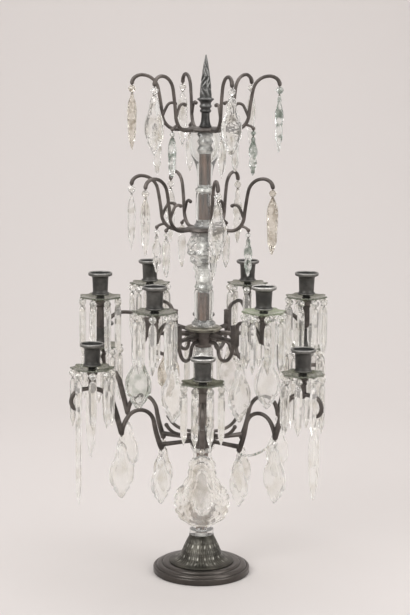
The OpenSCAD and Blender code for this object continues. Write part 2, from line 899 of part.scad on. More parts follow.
module crown_pendant(az, share) {
    color("#e6ece8", 0.5)
        facing(az)
            hung([hook_tip.x, hook_tip.y - bud_r], bead_h, bead_r, hang_turn(az))
                if (share > LEAF_SHARE)
                    leaf_plaque(pendant_h, pendant_w * share);
                else
                    spear_plaque(pendant_h, pendant_w * share);
}

module upper_pendant(i) {
    translate([0, 0, z_upper_crown + crown_h / 2])
        crown_pendant(UPPER_HOOK_AZ[i], UPPER_PENDANT[i]);
}

module lower_pendant(i) {
    translate([0, 0, z_lower_crown + crown_h / 2])
        crown_pendant(LOWER_HOOK_AZ[i], LOWER_PENDANT[i]);
}

// Plaques under both tips of every lower arm, the great one at the front, and icicles outside
module arm_plaques() {
    small = bead_h * 0.8;
    color("#e6ece8", 0.5)
        for (i = [0 : TIER - 1])
            facing(LOWER_AZ[i]) {
                turn = hang_turn(LOWER_AZ[i]);
                hung([first_tip.x, first_tip.y - first_bud], small, bead_r * 0.8, turn)
                    leaf_plaque(plaque_h * small_leaf, plaque_w * small_leaf);
                hung([second_tip.x, second_tip.y - second_bud], small, bead_r * 0.8, turn)
                    if (i == FRONT_ARM)
                        lobed_plaque(front_plaque_h, front_plaque_w);
                    else
                        leaf_plaque(plaque_h, plaque_w);
                if (i != FRONT_ARM)
                    hung([curl_tip.x, curl_tip.y - curl_bud], small, bead_r * 0.6, turn)
                        if (i % 3 == FLAT_ICICLE)
                            spear_plaque(icicle_h * 0.8, pendant_w);
                        else
                            spear(icicle_h, icicle_r);
            }
}

// Small plaques under the nubs of the hooks, and leaves under the tails of the upper arms
module hook_drops() {
    small = bead_h * 0.7;
    color("#e6ece8", 0.5) {
        for (crown = [[z_lower_crown, LOWER_HOOK_AZ], [z_upper_crown, UPPER_HOOK_AZ]])
            for (az = crown[1])
                translate([0, 0, crown[0] + crown_h / 2])
                    facing(az)
                        hung([hook_nub.x, hook_nub.y - bud_r], small, bead_r * 0.7, hang_turn(az))
                            spear_plaque(drop_h, drop_w);
        for (az = UPPER_AZ)
            facing(az)
                hung([tail_tip.x, tail_tip.y - tail_bud], small, bead_r * 0.7, hang_turn(az))
                    leaf_plaque(plaque_h, plaque_w);
    }
}

foot();
leaf_cone();
base_nut();
stem_rod();
lower_column();
lower_hub();
middle_column();
upper_hub_bowl();
upper_hub_cover();
upper_column();
vase();
lower_crown_plate();
neck_column();
tulip();
upper_crown_plate();
finial();
lower_arms();
upper_arms();
lower_crown_hooks();
upper_crown_hooks();
candle_cups();
arm_plaques();
hook_drops();
for (i = [0 : TIER - 1]) {
    upper_drip_pan(i);
    lower_drip_pan(i);
    upper_prisms(i);
    lower_prisms(i);
    upper_pendant(i);
    lower_pendant(i);
}
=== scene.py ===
"""Looks of the table girandole: dark bronze arms, a glass stem, drip pans and cut crystal.

Shapes are drawn in millimetres and brought to metres when a piece is finished.
"""
import math

import bmesh
import bpy
from mathutils import Matrix, Vector


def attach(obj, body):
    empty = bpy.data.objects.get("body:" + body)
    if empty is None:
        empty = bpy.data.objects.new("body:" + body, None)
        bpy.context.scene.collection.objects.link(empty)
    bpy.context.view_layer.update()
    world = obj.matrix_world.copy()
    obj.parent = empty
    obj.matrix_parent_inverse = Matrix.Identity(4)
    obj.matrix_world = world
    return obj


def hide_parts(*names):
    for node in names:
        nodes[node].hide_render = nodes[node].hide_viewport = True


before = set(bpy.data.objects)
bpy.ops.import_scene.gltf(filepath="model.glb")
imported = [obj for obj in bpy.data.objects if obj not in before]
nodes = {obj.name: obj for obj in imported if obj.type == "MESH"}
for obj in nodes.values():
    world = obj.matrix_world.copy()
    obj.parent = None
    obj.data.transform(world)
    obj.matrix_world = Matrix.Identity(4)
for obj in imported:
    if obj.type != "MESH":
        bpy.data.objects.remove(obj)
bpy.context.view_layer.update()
scene = bpy.context.scene
MM = 0.001
WELD = 1e-4

# Places repeated from the solids
UPPER_AZ = [33.5 + 60 * i for i in range(6)]
LOWER_AZ = [0, 52, 120, 180, 240, 298]
UPPER_HOOK_AZ = [20, 86, 140, 199, 268, 318]
LOWER_HOOK_AZ = [10, 66, 152, 209, 270, 308]
UPPER_REACH, UPPER_SEAT, UPPER_ROOT = 177.0, 483.24, 426.24
LOWER_REACH, LOWER_SEAT, LOWER_ROOT = 209.0, 377.0, 238.0
LOWER_CROWN, UPPER_CROWN = 606.0, 775.0
TIERS = (("upper", UPPER_AZ, UPPER_REACH, UPPER_SEAT), ("lower", LOWER_AZ, LOWER_REACH, LOWER_SEAT))
CROWNS = (("upper", UPPER_HOOK_AZ, UPPER_CROWN), ("lower", LOWER_HOOK_AZ, LOWER_CROWN))
FOOT_TOP, FINIAL_FOOT = 19.0, 779.0
BOWL_R, LOWER_HUB_R, CROWN_R = 26.0, 24.0, 36.0
POST_R = UPPER_REACH * 0.54
HOOK_RISE = 93.0
ROD_BORE = 6.85

# Ends of the bars, and how far the swollen end reaches below each that carries a stone
HOOK_TIP, HOOK_NUB = (124.0, 77.0), (81.0, 3.0)
ARCH_TIP = (UPPER_REACH - 6, UPPER_ROOT + 13)
TAIL_TIP = (POST_R + 16, UPPER_ROOT - 23)
SPUR_TIP = (LOWER_HUB_R + 46, LOWER_ROOT + 33)
FIRST_TIP = (LOWER_HUB_R + 56, LOWER_ROOT - 5)
SECOND_TIP = (LOWER_REACH - 54, LOWER_ROOT + 28)
CURL_TIP = (LOWER_REACH + 25, LOWER_ROOT + 78)
HOOK_BUD, TAIL_BUD, FIRST_BUD, SECOND_BUD, CURL_BUD = 3.5, 4.2, 5.4, 4.8, 4.7

# Sizes of the stones
HANG_GAP = 0.3
PAN_HANG = (32.5, 5.175)
BEAD_H, BEAD_R = 13.0, 6.6
SMALL_BEAD_H, DROP_BEAD_H = BEAD_H * 0.8, BEAD_H * 0.7
LEAF_H, LEAF_W, SMALL_LEAF = 98, 46, 0.86
PENDANT_H, PENDANT_W, BROAD = 96, 19, 1.5


def facing(az, r=0.0, z=0.0):
    """Place of something drawn along +X, at an angle from the front."""
    return Matrix.Rotation(math.radians(az - 90), 4, "Z") @ Matrix.Translation((r, 0, z))


def lifted(z):
    return Matrix.Translation((0, 0, z))


def hang_turn(az):
    """Plaques at the sides hang in line with their arm, those at the front and back square to it."""
    sideways = abs(math.sin(math.radians(az))) > 0.75
    return Matrix.Rotation(math.pi / 2 if sideways else 0, 4, "Z")


# Curves of the arms, through stations of (r, z, heading)
PARALLEL = 1e-6
STRAIGHT = 0.5
ARC_STEPS = 7


def unit(angle):
    return Vector((math.cos(math.radians(angle)), math.sin(math.radians(angle))))


def turn(p, heading, q):
    """Angle that an arc turns through from p, where it has a heading, to q."""
    ahead = unit(heading)
    return math.degrees(2 * math.atan2(ahead.cross(q - p), ahead.dot(q - p)))


def meet(a, b):
    """Place where the two arcs between two stations run into each other."""
    p, q = Vector(a[:2]), Vector(b[:2])
    t, u = unit(a[2]), unit(b[2])
    v = q - p
    k = 1 - t.dot(u)
    s = v.dot(t + u)
    d = v.dot(v) / (2 * s) if k < PARALLEL else (math.sqrt(s * s + 2 * k * v.dot(v)) - s) / (2 * k)
    return (p + q + d * (t - u)) / 2


def arc_points(p, heading, q):
    sweep = turn(p, heading, q)
    out = []
    for i in range(1, ARC_STEPS + 1):
        a = sweep * i / ARC_STEPS
        if abs(sweep) < STRAIGHT:
            reach = i / ARC_STEPS
        else:
            reach = math.sin(math.radians(a / 2)) / math.sin(math.radians(sweep / 2))
        out.append(p + reach * (q - p).length * unit(heading + a / 2))
    return out


def chain_points(stations):
    points = [Vector(stations[0][:2])]
    for a, b in zip(stations, stations[1:]):
        p, m = Vector(a[:2]), meet(a, b)
        points += arc_points(p, a[2], m)
        points += arc_points(m, a[2] + turn(p, a[2], m), Vector(b[:2]))
    return points


# Mesh makers
BAR_ROUND = 3
BUD_SIDES, BUD_RINGS = 16, 10
RIM_HALF = 0.4


def drawn_bar(stations, radii):
    """Round bar along a chain of stations, its thickness running through the given radii."""
    path = chain_points(stations)
    curve = bpy.data.curves.new("bar", "CURVE")
    curve.dimensions = "3D"
    curve.bevel_depth = 1.0
    curve.bevel_resolution = BAR_ROUND
    curve.use_fill_caps = True
    spline = curve.splines.new("POLY")
    spline.points.add(len(path) - 1)
    for i, point in enumerate(spline.points):
        place = i / (len(path) - 1) * (len(radii) - 1)
        low = min(int(place), len(radii) - 2)
        point.co = (path[i].x, 0, path[i].y, 1)
        point.radius = radii[low] + (radii[low + 1] - radii[low]) * (place - low)
    holder = bpy.data.objects.new("bar", curve)
    mesh = bpy.data.meshes.new_from_object(holder)
    bpy.data.objects.remove(holder)
    bpy.data.curves.remove(curve)
    return mesh


def scroll_work(bars, buds):
    """Bars, each of stations and radii, with buds: swollen ends drawn out along their heading."""
    bm = bmesh.new()
    for stations, radii in bars:
        stamp(bm, drawn_bar(stations, radii), Matrix())
    for (r, z), thick, heading, stretch in buds:
        ball = bmesh.ops.create_uvsphere(bm, u_segments=BUD_SIDES, v_segments=BUD_RINGS, radius=thick)
        bud = ball["verts"]
        bmesh.ops.scale(bm, vec=(1, 1, stretch), verts=bud)
        lean = Matrix.Rotation(math.radians(90 - heading), 4, "Y")
        bmesh.ops.transform(bm, matrix=Matrix.Translation((r, 0, z)) @ lean, verts=bud)
    return bm


def spun(bm, geom, steps):
    bmesh.ops.spin(bm, geom=geom, cent=(0, 0, 0), axis=(0, 0, 1), dvec=(0, 0, 0),
                   angle=2 * math.pi, steps=steps, use_merge=True, use_duplicate=False)


def rotated(bm, verts, angle, axis):
    bmesh.ops.rotate(bm, cent=(0, 0, 0), matrix=Matrix.Rotation(angle, 3, axis), verts=verts)


def welded(bm):
    bmesh.ops.remove_doubles(bm, verts=bm.verts, dist=WELD)
    bmesh.ops.recalc_face_normals(bm, faces=bm.faces)


def lathe(bm, outline, steps):
    """Turned shape from an outline of (r, z) points."""
    verts = [bm.verts.new((r, 0, z)) for r, z in outline]
    edges = [bm.edges.new(pair) for pair in zip(verts, verts[1:])]
    spun(bm, verts + edges, steps)
    welded(bm)


def kept(bm):
    """Mesh of one shape, to be stamped many times."""
    welded(bm)
    mesh = bpy.data.meshes.new("shape")
    bm.to_mesh(mesh)
    bm.free()
    return mesh


def stamp(bm, mesh, place, stone=None):
    """Adds a placed copy of a kept shape, all in one of the finishes of the stones if it is given."""
    copy = mesh.copy()
    copy.transform(place)
    if stone:
        copy.polygons.foreach_set("material_index", [STONES.index(stone)] * len(copy.polygons))
    bm.from_mesh(copy)
    bpy.data.meshes.remove(copy)


def grow(bm, face, keep):
    """Draws a face out of the shape. The face it started from stays as a cap if it is to be kept."""
    grown = bmesh.ops.extrude_face_region(bm, geom=[face])["geom"]
    if not keep and face.is_valid:
        bmesh.ops.delete(bm, geom=[face], context="FACES_ONLY")
    verts = [g for g in grown if isinstance(g, bmesh.types.BMVert)]
    return [g for g in grown if isinstance(g, bmesh.types.BMFace)][0], verts


def cut_stone(rings, sides, flat=1.0):
    """Faceted stone hanging down from z = 0, with a ring of corners at each (r, depth)."""
    bm = bmesh.new()
    start = bmesh.ops.create_circle(bm, cap_ends=True, segments=sides, radius=rings[0][0])
    bmesh.ops.translate(bm, vec=(0, 0, -rings[0][1]), verts=start["verts"])
    face = bm.faces[:][0]
    for i, ((r0, d0), (r1, d1)) in enumerate(zip(rings, rings[1:])):
        face, verts = grow(bm, face, i == 0)
        bmesh.ops.scale(bm, vec=(r1 / r0, r1 / r0, 1), verts=verts)
        bmesh.ops.translate(bm, vec=(0, 0, d0 - d1), verts=verts)
    bmesh.ops.scale(bm, vec=(flat, 1, 1), verts=bm.verts)
    return kept(bm)


def cut_plaque(h, widths, thick, bevels):
    """Flat plaque facing +X from z = 0 down, rising in bevels of (width, height, depth) shares."""
    bm = bmesh.new()
    n = len(widths) - 1
    right = [(w, -h * i / n) for i, w in enumerate(widths)]
    left = [(-w, z) for w, z in reversed(right)]
    rim = bm.faces.new([bm.verts.new((-RIM_HALF, y, z)) for y, z in right + left])
    front, verts = grow(bm, rim, True)
    bmesh.ops.translate(bm, vec=(2 * RIM_HALF, 0, 0), verts=verts)
    bmesh.ops.recalc_face_normals(bm, faces=bm.faces)
    for side, face in ((1, front), (-1, rim)):
        across, along, depth = 1.0, 1.0, 0.0
        for next_across, next_along, next_depth in bevels:
            face, verts = grow(bm, face, False)
            bmesh.ops.scale(bm, vec=(1, next_across / across, next_along / along),
                            space=lifted(h / 2), verts=verts)
            bmesh.ops.translate(bm, vec=(side * (next_depth - depth) * thick / 2, 0, 0), verts=verts)
            across, along, depth = next_across, next_along, next_depth
    bmesh.ops.triangulate(bm, faces=[f for f in bm.faces if len(f.verts) > 4])
    return kept(bm)


def finish_piece(bm, name, body, finishes, stands_for=(), crease=None):
    """Object made of the drawn shape, riding on a body. A crease in degrees smooths what is flatter."""
    bmesh.ops.scale(bm, vec=(MM, MM, MM), verts=bm.verts)
    mesh = bpy.data.meshes.new(name)
    bm.to_mesh(mesh)
    bm.free()
    if crease is None:
        mesh.shade_flat()
    else:
        mesh.shade_smooth()
        mesh.set_sharp_from_angle(angle=math.radians(crease))
    for finish in finishes:
        mesh.materials.append(finish)
    piece = bpy.data.objects.new(name, mesh)
    scene.collection.objects.link(piece)
    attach(piece, body)
    if stands_for:
        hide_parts(*stands_for)


def set_round(shape, name, azimuths, finish, stands_for, z=0.0):
    """Bars of the stand, one set of them at each angle."""
    every = bmesh.new()
    for az in azimuths:
        stamp(every, shape, facing(az, 0, z))
    finish_piece(every, name, "stand", [finish], [stands_for], 50)


# Finishes


def fill(made, sockets):
    for key, value in sockets.items():
        made.inputs[key].default_value = value


def node(tree, kind, sockets=None, **settings):
    """Shader node with settings, and values on some of its sockets."""
    made = tree.nodes.new(kind)
    for key, value in settings.items():
        setattr(made, key, value)
    fill(made, sockets or {})
    return made


def join(tree, *links):
    """Links of a node and its output to another node and its input."""
    for start, output, end, place in links:
        tree.links.new(start.outputs[output], end.inputs[place])


def new_group(name, inputs, outputs):
    group = bpy.data.node_groups.new(name, "ShaderNodeTree")
    for label, value in inputs.items():
        socket = group.interface.new_socket(label, in_out="INPUT", socket_type="NodeSocketFloat")
        socket.default_value = value
    for label in outputs:
        group.interface.new_socket(label, in_out="OUTPUT", socket_type="NodeSocketFloat")
    return group, node(group, "NodeGroupInput"), node(group, "NodeGroupOutput")


def cast_skin_group():
    """Blotches and fine grain of old cast metal, drawn out upwards where Drawn is low."""
    group, given, out = new_group("cast_skin", {"Scale": 30.0, "Drawn": 1.0}, ["Blotch", "Grain"])
    place = node(group, "ShaderNodeTexCoord")
    stretch = node(group, "ShaderNodeCombineXYZ", {"X": 1, "Y": 1})
    spot = node(group, "ShaderNodeVectorMath", operation="MULTIPLY")
    blotch = node(group, "ShaderNodeTexNoise", {"Detail": 5, "Roughness": 0.62})
    clear = node(group, "ShaderNodeMapRange", {"From Min": 0.38, "From Max": 0.66})
    fine = node(group, "ShaderNodeMath", {1: 14}, operation="MULTIPLY")
    grain = node(group, "ShaderNodeTexNoise", {"Detail": 3})
    join(group, (given, "Drawn", stretch, "Z"), (place, "Object", spot, 0), (stretch, 0, spot, 1),
         (spot, 0, blotch, "Vector"), (given, "Scale", blotch, "Scale"), (blotch, "Fac", clear, "Value"),
         (spot, 0, grain, "Vector"), (given, "Scale", fine, 0), (fine, 0, grain, "Scale"),
         (clear, "Result", out, "Blotch"), (grain, "Fac", out, "Grain"))
    return group


def cut_faces_group():
    """Height of hand cut glass: small facets, and slow waves where it was pressed or drawn."""
    group, given, out = new_group("cut_faces", {"Scale": 120.0, "Facets": 1.0}, ["Height", "Patch"])
    spot = node(group, "ShaderNodeTexCoord")
    cells = node(group, "ShaderNodeTexVoronoi", {"Randomness": 0.75}, distance="MANHATTAN")
    wave = node(group, "ShaderNodeTexNoise", {"Detail": 1.5})
    coarse = node(group, "ShaderNodeMath", {1: 0.6}, operation="MULTIPLY")
    blend = node(group, "ShaderNodeMix", data_type="FLOAT")
    patch = node(group, "ShaderNodeMapRange", {"From Min": 0.5, "From Max": 0.62})
    join(group, (spot, "Object", cells, "Vector"), (given, "Scale", cells, "Scale"),
         (spot, "Object", wave, "Vector"), (given, "Scale", coarse, 0), (coarse, 0, wave, "Scale"),
         (given, "Facets", blend, 0), (wave, "Fac", blend, 2), (cells, "Distance", blend, 3),
         (wave, "Fac", patch, "Value"), (blend, 0, out, "Height"), (patch, "Result", out, "Patch"))
    return group


CAST_SKIN = cast_skin_group()
CUT_FACES = cut_faces_group()
METAL_RELIEF, GLASS_RELIEF = 0.0006, 0.002
CRYSTAL_IOR = 1.54
MIX_SOCKETS, MIXED = (6, 7), 2


def mix_colour(tree, factor, output, first, second):
    """Mix of two colours, the first of which may be another mix, by an output of a node."""
    mix = node(tree, "ShaderNodeMix", data_type="RGBA")
    for place, value in zip(MIX_SOCKETS, (first, second)):
        if isinstance(value, tuple):
            mix.inputs[place].default_value = (*value, 1)
        else:
            join(tree, (value, MIXED, mix, place))
    join(tree, (factor, output, mix, 0))
    return mix


def blank(name, sockets):
    """New material, its nodes, and its shader with values on some of the sockets."""
    made = bpy.data.materials.new(name)
    made.use_nodes = True
    shader = made.node_tree.nodes["Principled BSDF"]
    fill(shader, sockets)
    return made, made.node_tree, shader


def old_metal(name, deep, bare, metallic, rough, scale=30.0, bump=0.12, rubbed_and_highlight=None, drawn=1.0, uneven=0.13):
    """Patinated metal. Marked places take the worn colour, which on the cups is partly a painted highlight,
    and a low drawn makes upright streaks.
    """
    made, tree, shader = blank(name, {"Metallic": metallic})
    skin = node(tree, "ShaderNodeGroup", {"Scale": scale, "Drawn": drawn}, node_tree=CAST_SKIN)
    spread = node(tree, "ShaderNodeMapRange", {"To Min": rough - uneven, "To Max": rough + uneven})
    raised = node(tree, "ShaderNodeBump", {"Strength": bump, "Distance": METAL_RELIEF})
    colour = mix_colour(tree, skin, "Blotch", deep, bare)
    if rubbed_and_highlight:
        mark = node(tree, "ShaderNodeAttribute", attribute_name="rubbing_and_highlight")
        lift = node(tree, "ShaderNodeMapRange", {"From Min": 0.3, "From Max": 0.62, "To Min": 0.35})
        patchy = node(tree, "ShaderNodeMath", operation="MULTIPLY")
        join(tree, (skin, "Grain", lift, "Value"), (mark, "Fac", patchy, 0), (lift, "Result", patchy, 1))
        colour = mix_colour(tree, patchy, 0, colour, rubbed_and_highlight)
    join(tree, (skin, "Grain", spread, "Value"), (skin, "Grain", raised, "Height"),
         (colour, MIXED, shader, "Base Color"), (spread, "Result", shader, "Roughness"),
         (raised, "Normal", shader, "Normal"))
    return made


def clear_glass(name, tint, shade, rough=0.0, ior=1.52, cut=0.05, scale=120.0, facets=0.0, milk=0.0,
                sheen=0.5, deep=None):
    """Glass that light passes. milk is the share that haze scatters, deep the colour of its patches."""
    made, tree, shader = blank(name, {
        "Base Color": (*tint, 1), "Metallic": 0, "Transmission Weight": 1 - milk, "IOR": ior,
        "Specular IOR Level": sheen, "Roughness": rough})
    faces = node(tree, "ShaderNodeGroup", {"Scale": scale, "Facets": facets}, node_tree=CUT_FACES)
    raised = node(tree, "ShaderNodeBump", {"Strength": cut, "Distance": GLASS_RELIEF})
    path = node(tree, "ShaderNodeLightPath")
    passing = node(tree, "ShaderNodeMath", operation="MAXIMUM")
    through = node(tree, "ShaderNodeBsdfTransparent", {"Color": (*shade, 1)})
    either = node(tree, "ShaderNodeMixShader")
    if deep:
        join(tree, (mix_colour(tree, faces, "Patch", tint, deep), MIXED, shader, "Base Color"))
    join(tree, (faces, "Height", raised, "Height"), (raised, "Normal", shader, "Normal"),
         (path, "Is Shadow Ray", passing, 0), (path, "Is Diffuse Ray", passing, 1), (passing, 0, either, 0),
         (shader, 0, either, 1), (through, 0, either, 2),
         (either, 0, tree.nodes["Material Output"], "Surface"))
    return made


def crystal(name, tint, shade, deep, cut, scale, facets, milk):
    return clear_glass(name, tint, shade, 0.0, CRYSTAL_IOR, cut, scale, facets, milk, deep=deep)


BRONZE = old_metal("dark_bronze", (0.06, 0.052, 0.047), (0.165, 0.145, 0.132), 0.7, 0.42)
HOOK_BRONZE = old_metal("hook_bronze", (0.066, 0.057, 0.052), (0.175, 0.152, 0.138), 0.7, 0.44)
FOOT_BRONZE = old_metal("foot_bronze", (0.072, 0.064, 0.058), (0.108, 0.096, 0.087), 0.8, 0.29,
                        scale=16, bump=0.01, uneven=0.03)
CONE_BRONZE = old_metal("chased_bronze", (0.028, 0.026, 0.021), (0.082, 0.077, 0.062), 0.7, 0.38,
                        scale=40, bump=0.15, rubbed_and_highlight=(0.6, 0.585, 0.52))
# Hub cover: the same bronze painted lighter, a painted highlight for the light its upper face and edges catch
COVER_HIGHLIGHT_BRONZE = old_metal("cover_painted_highlight", (0.13, 0.122, 0.1), (0.34, 0.32, 0.265), 0.7, 0.4, scale=40)
# Light colour on the lips, beads and neck rings of the cups: partly worn metal, partly a painted highlight
CUP_BRONZE = old_metal("charcoal_cup", (0.046, 0.045, 0.042), (0.115, 0.111, 0.103), 0.65, 0.4,
                       scale=34, bump=0.2, rubbed_and_highlight=(0.66, 0.645, 0.615))
SOOT = old_metal("sooty_bore", (0.008, 0.0075, 0.007), (0.018, 0.017, 0.016), 0.2, 0.7)
FINIAL_BRONZE = old_metal("finial_bronze", (0.03, 0.03, 0.029), (0.085, 0.085, 0.082), 0.7, 0.4,
                          scale=36, bump=0.2, rubbed_and_highlight=(0.44, 0.44, 0.43))
RUST = old_metal("rusty_iron", (0.03, 0.021, 0.017), (0.22, 0.13, 0.088), 0.1, 0.75,
                 scale=150, bump=0.5, drawn=0.1)
WIRE = old_metal("dull_wire", (0.05, 0.042, 0.032), (0.15, 0.12, 0.085), 0.8, 0.45, scale=80)
SLEEVE = old_metal("silvered_sleeve", (0.06, 0.06, 0.05), (0.95, 0.94, 0.91), 0.35, 0.34,
                   scale=75, bump=0.3)
STEM_SHADE = (0.93, 0.94, 0.93)
STEM_GLASS = clear_glass("stem_glass", (0.97, 0.975, 0.955), STEM_SHADE, milk=0.1)
VASE_GLASS = clear_glass("vase_glass", (0.98, 0.98, 0.955), STEM_SHADE, cut=0.2, scale=60, milk=0.16)
STEM_RING = clear_glass("stem_ring_glass", (0.98, 0.965, 0.935), STEM_SHADE, milk=0.25)
PAN_GLASS = clear_glass("pan_glass", (0.24, 0.25, 0.185), (0.43, 0.45, 0.37), 0.16,
                        cut=0.1, milk=0.26, sheen=0.4)
# Lighter copy of the pan glass, a painted sheen for the pale light on the top of one pan
SHEEN_PAN_GLASS = clear_glass("pan_glass_painted_sheen", (0.46, 0.52, 0.36), (0.68, 0.72, 0.62), 0.1,
                         cut=0.1, milk=0.4, sheen=0.3)
PAN_EDGE = clear_glass("pan_edge", (0.36, 0.38, 0.31), (0.6, 0.63, 0.55), 0.12, milk=0.3)
PRISM = crystal("prism_crystal", (0.99, 0.982, 0.962), (0.96, 0.96, 0.95), (0.88, 0.86, 0.81),
                cut=0.08, scale=120, facets=0, milk=0.17)
PALE = crystal("pale_crystal", (0.99, 0.982, 0.965), (0.96, 0.96, 0.95), (0.9, 0.88, 0.83),
               cut=0.1, scale=70, facets=0.6, milk=0.22)
CLEAR = crystal("clear_crystal", (0.98, 0.975, 0.955), (0.95, 0.955, 0.95), (0.74, 0.72, 0.66),
                cut=0.16, scale=100, facets=1, milk=0.1)
SMOKE = crystal("smoky_crystal", (0.86, 0.82, 0.74), (0.85, 0.82, 0.77), (0.45, 0.4, 0.32),
                cut=0.5, scale=130, facets=1, milk=0.06)
GREEN = crystal("greenish_crystal", (0.95, 0.965, 0.935), (0.9, 0.92, 0.9), (0.62, 0.66, 0.6),
                cut=0.16, scale=100, facets=1, milk=0.08)
GREAT = crystal("great_crystal", (0.985, 0.975, 0.95), (0.93, 0.92, 0.9), (0.76, 0.73, 0.67),
                cut=0.3, scale=70, facets=0.8, milk=0.14)
DARK = crystal("dark_green_crystal", (0.93, 0.95, 0.93), (0.75, 0.79, 0.75), (0.22, 0.27, 0.23),
               cut=0.4, scale=130, facets=1, milk=0.04)
STONES = [CLEAR, SMOKE, GREEN, GREAT, DARK, PRISM, PALE]

# Cast pieces


def bump_at(x, middle, half):
    """Rounded rise of height 1 around a place, 0 outside it."""
    t = (x - middle) / half
    return (1 - t * t) ** 2 if abs(t) < 1 else 0.0


def smooth_run(a, b, c, steps):
    """Points of a bend from a to c that leans towards b."""
    run = []
    for i in range(steps + 1):
        t = i / steps
        run.append(tuple((1 - t) ** 2 * p + 2 * t * (1 - t) * q + t * t * r for p, q, r in zip(a, b, c)))
    return run


def raised_by(z, outline):
    return [(r, z + up) for r, up in outline]


def cup_rubbing_and_highlight(r, z):
    """Wear and painted highlight of a cup, most on top of the lip, less below it, on the bead and on the ring
    of the neck.
    """
    if z > 42 and r > 17.5:
        return 1.0 if z > 47 else 0.3 + 0.4 * bump_at(z, 43.4, 1.2)
    if r > 14.9 and z < 14:
        return 0.55
    return 0.35 if 7.2 < r < 8 and z < 6 else 0.0


def candle_cups():
    """Cups with a ringed neck, a bead under the body and a rolled lip. The first of a tier, towards the
    front, is most worn and has the brightest painted highlight.
    """
    neck = [(0, 0), (6, 0), (6, 4.2), (7.3, 4.6), (7.6, 5.4), (7.0, 6.3), (6.2, 7), (6.3, 8.6), (7.4, 9.6)]
    bead = [(12, 10), (14.2, 10.4), (15.1, 11.2), (15.3, 12.3), (14.7, 13.6), (13.6, 14.2), (13.2, 14.5)]
    wall = [(13.2, 15.2), (12.8, 15.8), (12.9, 20), (13.2, 28), (13.6, 36), (13.9, 39.6), (14.6, 41.4)]
    lip = [(16.2, 42.3), (18.4, 42.8), (19.8, 43.6), (20.4, 44.8), (20.5, 46.2), (20.3, 47.6), (19.6, 48.5),
           (18.9, 48.8), (18.2, 48.4), (17.6, 47.2), (16.6, 45.2), (14.4, 43.4), (12.6, 42.4), (11.7, 41.6)]
    bore = [(11.5, 41), (11.5, 14.6), (10.8, 13.9), (0, 13.8)]
    cups = []
    # Painted highlight mixed with wear: full on the front cup of each tier, weaker on the others
    for bright in (1.0, 0.42):
        bm = bmesh.new()
        lathe(bm, neck + bead + wall + lip + bore, 44)
        rubbing_and_highlight = bm.verts.layers.float.new("rubbing_and_highlight")
        for vert in bm.verts:
            vert[rubbing_and_highlight] = bright * cup_rubbing_and_highlight(vert.co.xy.length, vert.co.z)
        for face in bm.faces:
            spot = face.calc_center_median()
            out = spot.xy.length
            sooty = (out < 12.3 and spot.z > 13.7) or (out < 17.3 and spot.z > 42.4)
            face.material_index = int(sooty)
        cups.append(kept(bm))
    every = bmesh.new()
    for tier, azimuths, reach, seat in TIERS:
        for i, az in enumerate(azimuths):
            stamp(every, cups[min(i, 1)], facing(az, reach, seat))
    finish_piece(every, "turned_cups", "stand", [CUP_BRONZE, SOOT], ["candle_cups"], 40)


def calyx(seat, low):
    """Turned holder under a drip pan."""
    bm = bmesh.new()
    lathe(bm, [(0, low), (2.6, low), (4.6, low + 1.4), (6.1, low + 4), (6.5, low + 8), (6.2, seat - 17),
               (5.7, seat - 13), (6.1, seat - 11.4), (7.2, seat - 11), (7.4, seat - 9.6), (6.4, seat - 8.6),
               (6.6, seat - 6.6), (8.2, seat - 4.4), (9, seat - 3.6), (9, seat - 0.6), (8.4, seat),
               (0, seat)], 28)
    return kept(bm)


def lower_arms():
    root = [(15, LOWER_ROOT, 0), (FIRST_TIP[0], LOWER_ROOT, 0)], [4.2, 3.5, 3.6, 3.9, 4.4]
    first = ([(*FIRST_TIP, 66), ((FIRST_TIP[0] + SECOND_TIP[0]) / 2 + 5, LOWER_ROOT + 65, 0),
              (*SECOND_TIP, -82)], [4.8, 4.2, 3.6, 3.4, 3.5, 3.9, 4.3])
    rise = ([(*SECOND_TIP, 74), (LOWER_REACH - 4, LOWER_ROOT + 110, 10),
             (LOWER_REACH + 38, LOWER_ROOT + 95, -82), (*CURL_TIP, -190)],
            [4.8, 4.9, 4.4, 3.7, 3.5, 3.5, 3.6, 3.5, 3.3])
    spur = ([(15, LOWER_ROOT + 12, 0), (LOWER_HUB_R + 6, LOWER_ROOT + 12, 0), (*SPUR_TIP, 62)],
            [2.8, 2.8, 2.8, 2.9, 3.2])
    arm = scroll_work([root, first, rise, spur],
                      [(FIRST_TIP, 4.9, -90, 1.08), (SECOND_TIP, 4.4, -90, 1.08),
                       (CURL_TIP, 4.4, -190, 1.06), (SPUR_TIP, 3.7, 62, 1.1)])
    stamp(arm, calyx(LOWER_SEAT, LOWER_ROOT + 104), Matrix.Translation((LOWER_REACH, 0, 0)))
    set_round(kept(arm), "lower_scroll_arms", LOWER_AZ, BRONZE, "lower_arms")


